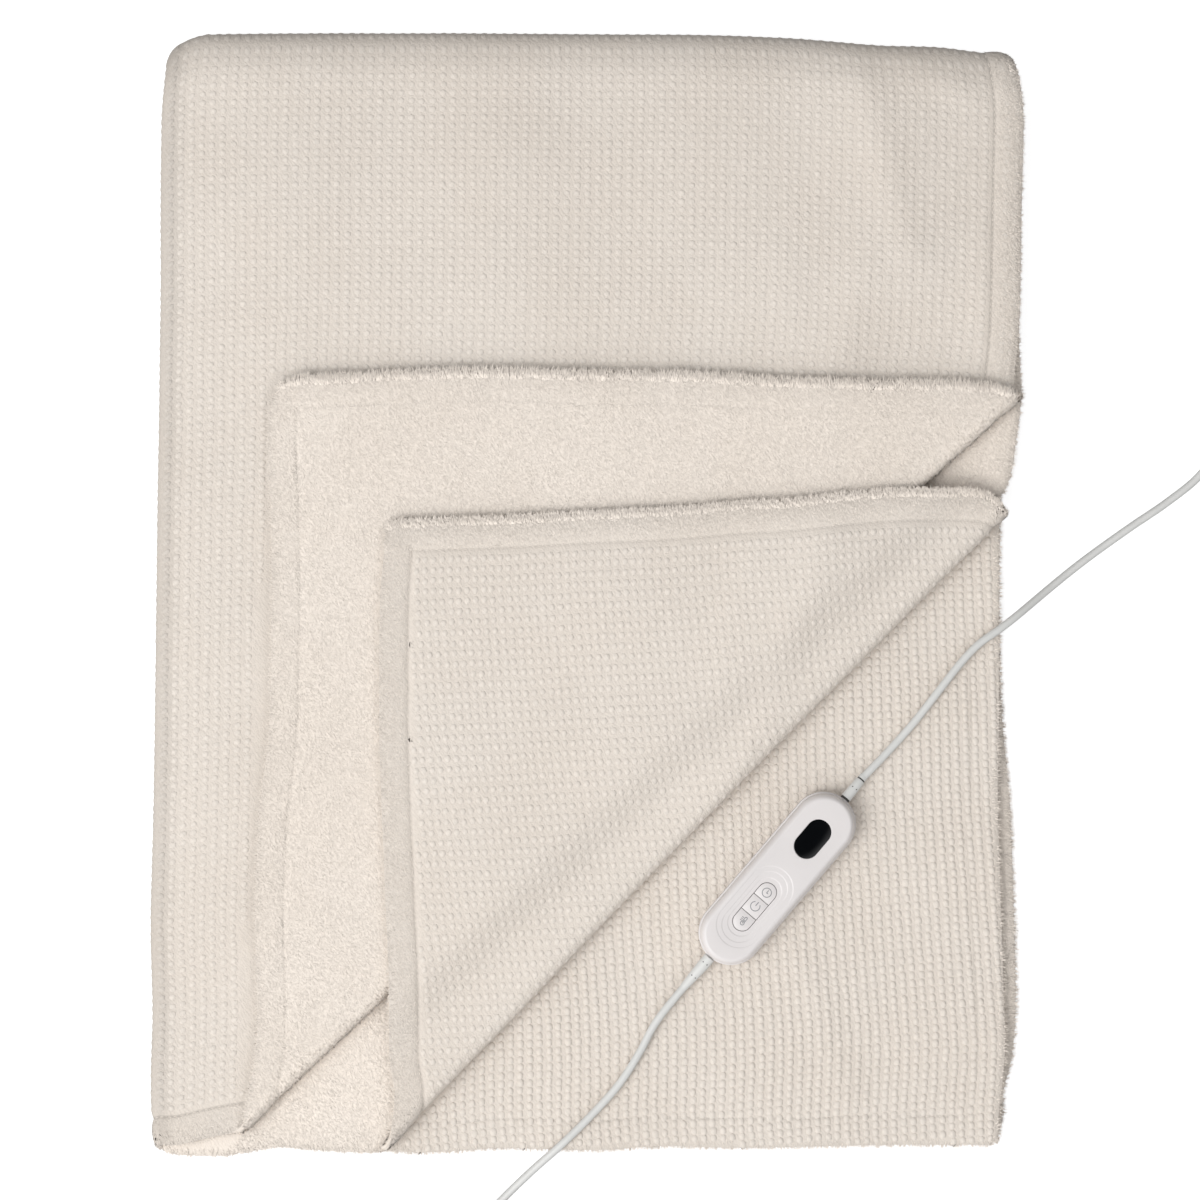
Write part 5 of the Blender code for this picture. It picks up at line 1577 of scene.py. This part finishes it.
def repeat_on_cloth(name, pattern, flat_points, tones, material, anchors=None, ways=None):
    """One mesh with the pattern at each place: flat_points is (count, verts, 3).

    With anchors, one for each copy or one for each point, they are moved as their anchor's way
    to the throw's facets. With ways, a copy is shaded as if it lay in a face that points so.
    """
    count, size, _ = flat_points.shape
    loops = [vert.index for face in pattern.faces for vert in face.verts]
    starts = np.cumsum([0] + [len(face.verts) for face in pattern.faces])[:-1]
    step = np.arange(count)[:, None]
    mesh = bpy.data.meshes.new(name)
    mesh.vertices.add(count * size)
    lying = fold(flat_points[..., 0], flat_points[..., 1], flat_points[..., 2])
    if anchors is not None:
        lying += to_facets(anchors.reshape(-1, 3)).reshape(count, -1, 3)
    lying[..., 2] = np.maximum(lying[..., 2], 0.0)
    mesh.vertices.foreach_set("co", lying.astype(np.float32).ravel())
    mesh.loops.add(count * len(loops))
    mesh.loops.foreach_set("vertex_index", (np.array(loops) + size * step).ravel().astype(np.int32))
    mesh.polygons.add(count * len(starts))
    mesh.polygons.foreach_set("loop_start", (starts + len(loops) * step).ravel().astype(np.int32))
    mesh.update(calc_edges=True)
    mesh.flip_normals()
    mesh.shade_smooth()
    if ways is not None:
        own = lying - lying.mean(axis=1, keepdims=True)
        own /= np.linalg.norm(own, axis=2, keepdims=True)
        normals = ways[:, None, :] + OWN_SHARE * own
        normals /= np.linalg.norm(normals, axis=2, keepdims=True)
        mesh.normals_split_custom_set_from_vertices(normals.reshape(-1, 3))
    tone = mesh.attributes.new("tone", "FLOAT", "POINT")
    spread_tones = np.broadcast_to(np.reshape(tones, (count, -1)), (count, size))
    tone.data.foreach_set("value", spread_tones.astype(np.float32).ravel())
    mesh.materials.append(material)
    triangles = count * sum(len(face.verts) - 2 for face in pattern.faces)
    print(name, count, "times,", triangles, "triangles")
    pattern.free()
    return show(bpy.data.objects.new(name, mesh))


def under_corner(layer, x, y, margin):
    """Whether a place seen from above lies under a layer's turned corner."""
    corner = CORNERS[layer]
    flat_x, flat_y = corner.unturn(x, y)
    across = flat_x - LEFT_FOLD_X + LEFT_ARC
    along = TOP_FOLD_Y + TOP_ARC - flat_y
    turned = corner.past_hinge(x, y) < -margin
    return turned & (across < HALF_WIDTH - margin) & (along < HALF_LENGTH - margin)


# %% [markdown]
# ## Nubs
# On the real fleece each nub is a small raised cushion of pile, 7.3 mm from the next across the
# ribs and 6 mm along them. Bump alone would look flat from the side, so they are low domes. The
# rows lean where the cloth was pulled askew, and nubs that nothing shows are left out.

# %% Nubs
NUB_SIDES, NUB_HEIGHT, NUB_WOBBLE = 6, 0.00045, 0.00022
# The dome's rings: radius, height, and how light it is there: a painted highlight at the top, painted
# shade at the foot
NUB_RINGS = ((1.0, -0.45, 0.98), (0.66, 0.42, 0.99), (0.0, 1.0, 1.06))
NUB_SEAM_GAP, NUB_EDGE_MARGIN, HIDDEN_MARGIN = 0.0024, 0.004, 0.014
NUB_COLUMNS, NUB_LINES = (-60, 140), (-60, 200)
# Each layer's nubs: pitch across and along, how the rows lean, half sizes, height, and share
# of that height on the hem
NUB_ROWS = {
    1: ((0.00728, 0.00598), (0.0, 0.0), (0.0030, 0.0027), 1.0, 0.25),
    2: ((0.00727, 0.00589), (0.0, 0.086), (0.0030, 0.0027), 1.2, 0.0),
    3: ((0.00680, 0.00548), (0.038, -0.072), (0.0030, 0.0038), 2.2, 0.90),
}


def dome_pattern():
    """A low dome of unit size: a foot, closed below, and rings up to its top."""
    bm = bmesh.new()
    radius, height, _ = NUB_RINGS[0]
    up = Matrix.Translation((0, 0, height))
    bmesh.ops.create_circle(bm, cap_ends=True, segments=NUB_SIDES, radius=radius, matrix=up)
    face = bm.faces[:][0]
    for radius, height, _ in NUB_RINGS[1:]:
        face = extrude_cap(bm, face)
        size = face.verts[0].co.xy.length
        for vert in face.verts:
            vert.co = (vert.co.x * radius / size, vert.co.y * radius / size, height)
    bmesh.ops.remove_doubles(bm, verts=bm.verts[:], dist=0.001)
    bmesh.ops.recalc_face_normals(bm, faces=bm.faces[:])
    bm.verts.index_update()
    return bm


def lay_points(s, t, offset_s, offset_t, n):
    """Points at offsets from each flat place, moved into the sheet's real outline."""
    outline = shape_flat(s[:, None] + offset_s, t[:, None] + offset_t)
    return np.stack((*outline, n), axis=2)


def make_nubs(name, layer, places, seed):
    """Domes at flat places, a little uneven, lower on the hem and none in a deep seam."""
    chance = np.random.default_rng(seed)
    _, _, (half_s, half_t), rise, on_hem = NUB_ROWS[layer]
    s, t = places
    inside, at_side = from_edges(s, t)
    keep = (np.abs(inside - HEM_WIDTH) > NUB_SEAM_GAP) | (on_hem > 0.5)
    keep &= (inside > HEM_WIDTH) | ((on_hem > 0) & (at_side | (on_hem > 0.5)))
    s, t, inside = s[keep], t[keep], inside[keep]
    count = len(s)
    s, t = s + chance.normal(0, NUB_WOBBLE, count), t + chance.normal(0, NUB_WOBBLE, count)
    height = NUB_HEIGHT * rise * chance.uniform(0.8, 1.2, count)
    height = height * np.where(inside < HEM_WIDTH + half_s, on_hem, 1.0)
    width = chance.uniform(0.92, 1.08, count)
    pattern = dome_pattern()
    dome = points_of(pattern)
    wide, long = dome[:, 0] * (half_s * width)[:, None], dome[:, 1] * (half_t * width)[:, None]
    face = surface_height(s, t)[:, None]
    flat = lay_points(s, t, wide, long, face + dome[:, 2] * height[:, None])
    # A painted highlight on each nub's top and painted shade at its foot, times the place's painted
    # shade
    _, ring_heights, ring_painted_light = zip(*NUB_RINGS)
    light = np.interp(dome[:, 2], ring_heights, ring_painted_light)
    tones = (chance.normal(1.0, 0.010, count) * place_painted_shade_and_light(s, t))[:, None] * light
    anchors = np.stack((flat[..., 0], flat[..., 1], np.broadcast_to(face, flat.shape[:2])), axis=2)
    # A nub that the fold turns inside out, where a roll begins, is left off
    corners, top = np.flatnonzero(dome[:, 2] == dome[:, 2].min())[::2], dome[:, 2].argmax()
    lying = fold(*np.moveaxis(flat, 2, 0))
    filled = np.linalg.det(lying[:, corners] - lying[:, top, None])
    sound = filled * np.linalg.det(dome[corners] - dome[top]) < 0
    print(name, "leaves off", np.count_nonzero(~sound))
    return repeat_on_cloth(name, pattern, flat[sound], tones[sound], fleece_nub, anchors[sound])


def nub_grid(layer, low_s=LEFT_ARC, high_s=HALF_WIDTH - NUB_EDGE_MARGIN, low_t=TOP_ARC):
    """A lattice of nubs between limits of s and t, and where each is seen from above."""
    (pitch_s, pitch_t), (lean_s, lean_t) = NUB_ROWS[layer][:2]
    i, j = np.meshgrid(np.arange(*NUB_COLUMNS), np.arange(*NUB_LINES), indexing="ij")
    across, along = i.ravel() * pitch_s, j.ravel() * pitch_t
    s, t = across + lean_s * along, along + lean_t * across
    inside = (s > low_s) & (s < high_s) & (t > low_t) & (t < HALF_LENGTH - NUB_EDGE_MARGIN)
    s, t = s[inside], t[inside]
    return s, t, seen_flat(*shape_flat(s, t))


def first_nubs():
    """Layer 1 and both folds, in two halves, but for what the turned corner hides."""
    s, t, seen = nub_grid(1, -LEFT_ARC - 0.004, low_t=-TOP_ARC - 0.006)
    hidden = under_corner(1, *seen, HIDDEN_MARGIN) & (s > LEFT_ARC) & (t > TOP_ARC)
    keep = (CORNERS[1].past_hinge(*seen) < CORNERS[1].radius) & ~hidden
    places = np.stack((s[keep], t[keep]))
    is_upper = places[1] < np.median(places[1])
    s, t, _ = nub_grid(1, -LEFT_ARC - 0.003, LEFT_ARC + 0.003, 0.014)
    return np.hstack((places[:, is_upper], (s, -t))), places[:, ~is_upper]


def corner_nubs():
    """The turned corner of layer 2 with its roll, and layer 3 where it shows past that."""
    s, t, seen = nub_grid(2)
    turned = CORNERS[2].past_hinge(*seen) > 0
    second = (-s[turned], t[turned])
    s, t, seen = nub_grid(3)
    shows = CORNERS[2].past_edge(*seen) > -HIDDEN_MARGIN
    return second, (-s[shows], -t[shows])


nub_names = (("nubs_upper", 1), ("nubs_lower", 1), ("nubs_turned", 2), ("nubs_third", 3))
nub_places = (*first_nubs(), *corner_nubs())
nubs = [
    make_nubs(name, layer, places, seed)
    for (name, layer), places, seed in zip(nub_names, nub_places, (11, 12, 13, 14))
]

# %% [markdown]
# ## The seam's stitches
# A straight seam holds the hem, and its thread dips into the cloth between two stitches, which
# leaves small dark pricks. Each stitch is the nubs' dome again, drawn out along the seam, and
# its ends are coloured dark: painted shade where they go down into the pile.

# %% Stitches
STITCH_PITCH, STITCH_HALF, STITCH_HEIGHT = 0.0044, (0.0018, 0.00042), 0.00035
# How dark the stitches' ends are: painted shade
STITCH_END_PAINTED_SHADE = 0.60


def seam_places(chance, layers):
    """Places along the seams of some layers, and whether each runs along t."""
    rows = []
    for along_t in (True, False):
        half = (HALF_LENGTH if along_t else HALF_WIDTH) - HEM_WIDTH
        along = np.arange(-half, half, STITCH_PITCH)
        across = (HALF_WIDTH if along_t else HALF_LENGTH) - HEM_WIDTH
        for sign in (-1.0, 1.0):
            place = along + chance.normal(0.0, 0.0003, len(along))
            line = np.full_like(place, sign * across)
            ends = (line, place) if along_t else (place, line)
            rows.append((*ends, np.full(len(place), along_t)))
    s, t, runs = (np.concatenate([row[k] for row in rows]) for k in range(3))
    keep = np.isin(layer_of(s, t), layers)
    return s[keep], t[keep], runs[keep]


def make_stitches(name, layers, seed):
    s, t, runs = seam_places(np.random.default_rng(seed), layers)
    pattern = dome_pattern()
    dome = points_of(pattern)
    long, wide = dome[:, 0] * STITCH_HALF[0], dome[:, 1] * STITCH_HALF[1]
    offsets = np.where(runs[:, None], wide, long), np.where(runs[:, None], long, wide)
    face = surface_height(s, t)
    flat = lay_points(s, t, *offsets, face[:, None] + STITCH_HEIGHT * dome[:, 2])
    # Painted shade at both ends of each stitch
    tones = np.where(np.abs(dome[:, 0]) > 0.9, STITCH_END_PAINTED_SHADE, 1.0)
    anchors = np.stack((*shape_flat(s, t), face), axis=1)
    return repeat_on_cloth(name, pattern, flat, np.tile(tones, (len(s), 1)), hem_thread, anchors)


stitches = make_stitches("hem_stitches", (1, 2, 3), 41)

# %% [markdown]
# ## Sherpa pile
# Sherpa is a plush of fine curled locks that lie over in soft swirls. A hair system would be
# the quick way, but hair isn't a mesh and can't be handed on. So each lock is a slim cone with
# three sides, leaning the way that a slow swirl field points. They stand only where the pile
# shows: on the two turned corners' border, and in a fringe along every free edge.

# %% Sherpa pile
PILE_PITCH, PILE_MARGIN = 0.00139, 0.002
LOCK_WIDTH, LOCK_HEIGHT, LOCK_LEAN, LOCK_TONES = 0.00105, 0.00075, 0.0027, 0.028
ROLL_RISE, ROLL_LEAN = 1.2, 0.5
WAY_STEP = 0.001
# How far the pile goes on: ahead of the first roll, under the second corner, onto its roll
FIRST_MARGINS, STRIP_MARGINS = (0.002, 0.018, 0.002), (0.012, 0.012, 0.004)
# The swirls of the pile: length, direction in degrees, phase
SWIRLS = ((0.061, 23.0, 1.1), (0.043, 118.0, 3.7), (0.027, 71.0, 0.4))
SWIRL_START, SWIRL_TURN = 2.2, 0.5


def lock_pattern():
    """A slim closed cone of three sides, its tip up."""
    bm = bmesh.new()
    bmesh.ops.create_cone(bm, cap_ends=True, segments=3, radius1=1.0, radius2=0.0, depth=1.0)
    bmesh.ops.remove_doubles(bm, verts=bm.verts[:], dist=0.0001)
    bm.verts.index_update()
    return bm


def swirl(s, t):
    """The direction, as an angle, in which the pile lies over."""
    angle = np.full_like(s, SWIRL_START)
    for length, direction, phase in SWIRLS:
        turn = math.radians(direction)
        along = s * math.cos(turn) + t * math.sin(turn)
        angle = angle + SWIRL_TURN * np.sin(math.tau * along / length + phase)
    return angle


def face_ways(feet, side):
    """Which way the cloth's nub (1) or pile (-1) face points at flat places; upwards for 0."""
    s, t, n = feet.T
    way = fold(s, t, n + WAY_STEP) - fold(s, t, n)
    way /= np.linalg.norm(way, axis=1, keepdims=True)
    return way * (side or np.where(way[:, 2:] < 0, -1.0, 1.0))


def make_locks(name, feet, tips, widths, tones, side=0):
    """Locks from foot to tip, both as rows of s, t and n on the cloth.

    A lock that the fold would turn inside out gets its three sides the other way round. With
    a side given, the feet are on that face.
    """
    pattern = lock_pattern()
    cone = points_of(pattern)
    is_tip = cone[:, 2] > 0
    spread = np.where(is_tip[:, None], 0.0, cone * (1.0, 1.0, 0.0)) * widths[:, None, None] / 2
    along = feet[:, None, :] + np.where(is_tip[None, :, None], (tips - feet)[:, None, :], 0.0)
    lying = fold(*np.moveaxis(along + spread, 2, 0))
    filled = np.linalg.det(lying[:, ~is_tip] - lying[:, is_tip])
    inside_out = filled * np.linalg.det(cone[~is_tip] - cone[is_tip]) > 0
    spread[inside_out, :, 1] *= -1.0
    ways = face_ways(feet, side)
    anchors = feet if side else None
    return repeat_on_cloth(name, pattern, along + spread, tones, sherpa_pile, anchors, ways)


def leaning(s, t, n, way, length, rise):
    """Feet at flat places, and tips at a length in a direction and a rise from them."""
    feet = np.stack((*shape_flat(s, t), n), axis=1)
    return feet, feet + np.stack((length * np.cos(way), length * np.sin(way), rise), axis=1)


def jittered(chance):
    """Flat places scattered over a quarter of the cloth, and where each is seen from above."""
    places = np.meshgrid(
        np.arange(LEFT_ARC, HALF_WIDTH - PILE_MARGIN, PILE_PITCH),
        np.arange(TOP_ARC, HALF_LENGTH - PILE_MARGIN, PILE_PITCH),
    )
    s, t = (place.ravel() for place in places)
    s, t = (place + chance.uniform(-0.6, 0.6, len(s)) * PILE_PITCH for place in (s, t))
    return s, t, seen_flat(*shape_flat(s, t))


def lay_pile(name, s, t, on_roll, chance):
    """Pile on the sherpa face: the locks lean along the swirls, and stand up on a roll."""
    count = len(s)
    way = swirl(s, t) + chance.normal(0.0, 1.1, count)
    length = LOCK_LEAN * chance.uniform(0.6, 1.25, count) * np.where(on_roll, ROLL_LEAN, 1.0)
    rise = LOCK_HEIGHT * chance.uniform(0.5, 1.3, count) * (1 + ROLL_RISE * on_roll)
    ends = leaning(s, t, surface_height(s, t, "pile"), way, length, -rise)
    widths = LOCK_WIDTH * chance.uniform(0.8, 1.4, count)
    # Random tone, times the painted shade and light of the place
    tones = chance.normal(1.0, LOCK_TONES, count) * place_painted_shade_and_light(s, t, "pile")
    return make_locks(name, *ends, widths, tones, side=-1)


def pile_first():
    """The turned corner of layer 1 with its roll, where layer 2's corner leaves it bare."""
    chance = np.random.default_rng(21)
    s, t, seen = jittered(chance)
    past = CORNERS[1].past_hinge(*seen)
    x, y, _ = fold(*shape_flat(s, t), np.zeros_like(s)).T
    ahead, under, onto = FIRST_MARGINS
    keep = (past > -ahead) & ~under_corner(2, x, y, under) & (CORNERS[2].past_hinge(x, y) < onto)
    return lay_pile("sherpa_turned", s[keep], t[keep], past[keep] < CORNERS[1].arc, chance)


def pile_second():
    """The strip of layer 2 between the two rolls."""
    chance = np.random.default_rng(22)
    s, t, seen = jittered(chance)
    ahead, under, onto = STRIP_MARGINS
    keep = (CORNERS[1].past_edge(*seen) > -ahead) & (CORNERS[2].past_hinge(*seen) < onto)
    keep &= ~under_corner(2, *seen, under)
    return lay_pile("sherpa_strip", -s[keep], t[keep], np.zeros(keep.sum()), chance)


pile = [pile_first(), pile_second()]

# %% [markdown]
# ## The fringe of pile at the edges
# Along the free edges the sherpa's pile sticks out past the cloth, longest at the pile side and
# short at the nubs' side. The same locks do it, with their feet on the edge band and their tips
# pointing outwards, each at its own slant.

# %% Fringe
# Locks to the metre, the band of their feet, their width and length, their tone
EDGE_FRINGE = {
    "per_metre": 3000, "band": (0.0018, 0.0044), "width": 0.0008, "reach": (0.0022, 0.0038),
    "tone": 0.96,
}
TOP_FRINGE = {**EDGE_FRINGE, "per_metre": 2200, "band": (0.0020, 0.0080), "width": 0.0010}
# The needles' tone above 1 is a painted highlight
NEEDLES = {
    "per_metre": 8000, "band": (0.0010, 0.0060), "width": 0.0013, "reach": (0.0036, 0.0066),
    "tone": 1.09,
}
NEEDLE_RISE, FRINGE_LOWER = 0.12, 0.0012


def along_edges(chance, layers, per_metre, band):
    """Flat places in a band along the free edges of some layers, and the way out of each."""
    rows = []
    for at_side in (True, False):
        length, half = (FLAT_LENGTH, HALF_WIDTH) if at_side else (FLAT_WIDTH, HALF_LENGTH)
        for sign in (-1.0, 1.0):
            count = int(length * per_metre)
            along = chance.uniform(-length / 2, length / 2, count)
            across = sign * (half - chance.uniform(*band, count))
            out = np.full(count, 0.0 if sign > 0 else math.pi)
            if at_side:
                rows.append((across, along, out))
            else:
                rows.append((along, across, out + math.pi / 2))
    s, t, out = (np.concatenate([row[k] for row in rows]) for k in range(3))
    keep = np.isin(layer_of(s, t), layers)
    return s[keep], t[keep], out[keep]


def on_upper_edge(s, t):
    """Whether places are on a long side of the cloth that a turned corner lays across."""
    seen, layer = seen_flat(*shape_flat(s, t)), layer_of(s, t)
    turned = sum((layer == k) & (CORNERS[k].past_hinge(*seen) > 0) for k in CORNERS) > 0
    return turned & from_edges(s, t)[1]


def fringe_rows(chance, layers, kind):
    """Feet, tips, widths and tones of one kind of fringe."""
    s, t, out = along_edges(chance, layers, kind["per_metre"], kind["band"])
    if kind is NEEDLES:
        upper = on_upper_edge(s, t)
        s, t, out = s[upper], t[upper], out[upper]
    count = len(s)
    if kind is EDGE_FRINGE:
        share = chance.uniform(-1.0, 1.0, count)
    elif kind is TOP_FRINGE:
        share = np.where(chance.random(count) < 0.65, -1.0, 1.0)
    else:
        share = np.where(layer_of(s, t) == 1, -1.0, 1.0)
    n = np.where(share > 0, share * surface_height(s, t), -share * surface_height(s, t, "pile"))
    way = out + chance.normal(0.0, 0.38, count)
    reach = chance.uniform(*kind["reach"], count) * (1.0 - 0.3 * (share > 0)) + FRINGE_LOWER * (t < 0)
    rise = n / NUB_SIDE * 0.1 + chance.normal(0.0, 0.12, count)
    if kind is NEEDLES:
        rise = share * NEEDLE_RISE * chance.uniform(0.0, 2.0, count)
    widths = kind["width"] * chance.uniform(0.7, 1.3, count)
    tones = kind["tone"] * chance.normal(1.0, 0.04, count)
    return *leaning(s, t, n, way, reach, rise * reach), widths, tones


def make_fringe(name, layers, kinds, seed):
    """Locks along the free edges of some layers: in the edge itself, and on its shoulders."""
    chance = np.random.default_rng(seed)
    parts = [fringe_rows(chance, layers, kind) for kind in kinds]
    return make_locks(name, *(np.concatenate([part[k] for part in parts]) for k in range(4)))


fringe = [
    make_fringe("fringe_upper", (1, 2), (EDGE_FRINGE, TOP_FRINGE, NEEDLES), 31),
    make_fringe("fringe_lower", (3, 4), (EDGE_FRINGE, TOP_FRINGE), 32),
]

# %% [markdown]
# ## Fuzz on the hem
# The hem is turned in and has hardly any nubs: between its seam and its edge the fleece is
# plain and fuzzy. Short fine locks lie over it in all directions, mostly towards the edge.

# %% Hem fuzz
FUZZ_PER_METRE, FUZZ_BAND = 11000, (0.003, 0.0215)
FUZZ_LENGTH, FUZZ_RISE, FUZZ_WIDTH, FUZZ_TONE = 0.0028, 0.00040, 0.0009, 0.905


def make_hem_fuzz(name, layers, seed):
    chance = np.random.default_rng(seed)
    s, t, out = along_edges(chance, layers, FUZZ_PER_METRE, FUZZ_BAND)
    count = len(s)
    way = out + chance.normal(0.0, 0.9, count)
    length = FUZZ_LENGTH * chance.uniform(0.6, 1.3, count)
    rise = FUZZ_RISE * chance.uniform(0.6, 1.6, count)
    ends = leaning(s, t, surface_height(s, t), way, length, rise)
    widths = FUZZ_WIDTH * chance.uniform(0.7, 1.3, count)
    # Random tone, times the painted shade of the place
    tones = chance.normal(FUZZ_TONE, 0.035, count) * place_painted_shade_and_light(s, t)
    return make_locks(name, *ends, widths, tones, side=1)


hem_fuzz = make_hem_fuzz("hem_fuzz", (1, 2), 51)
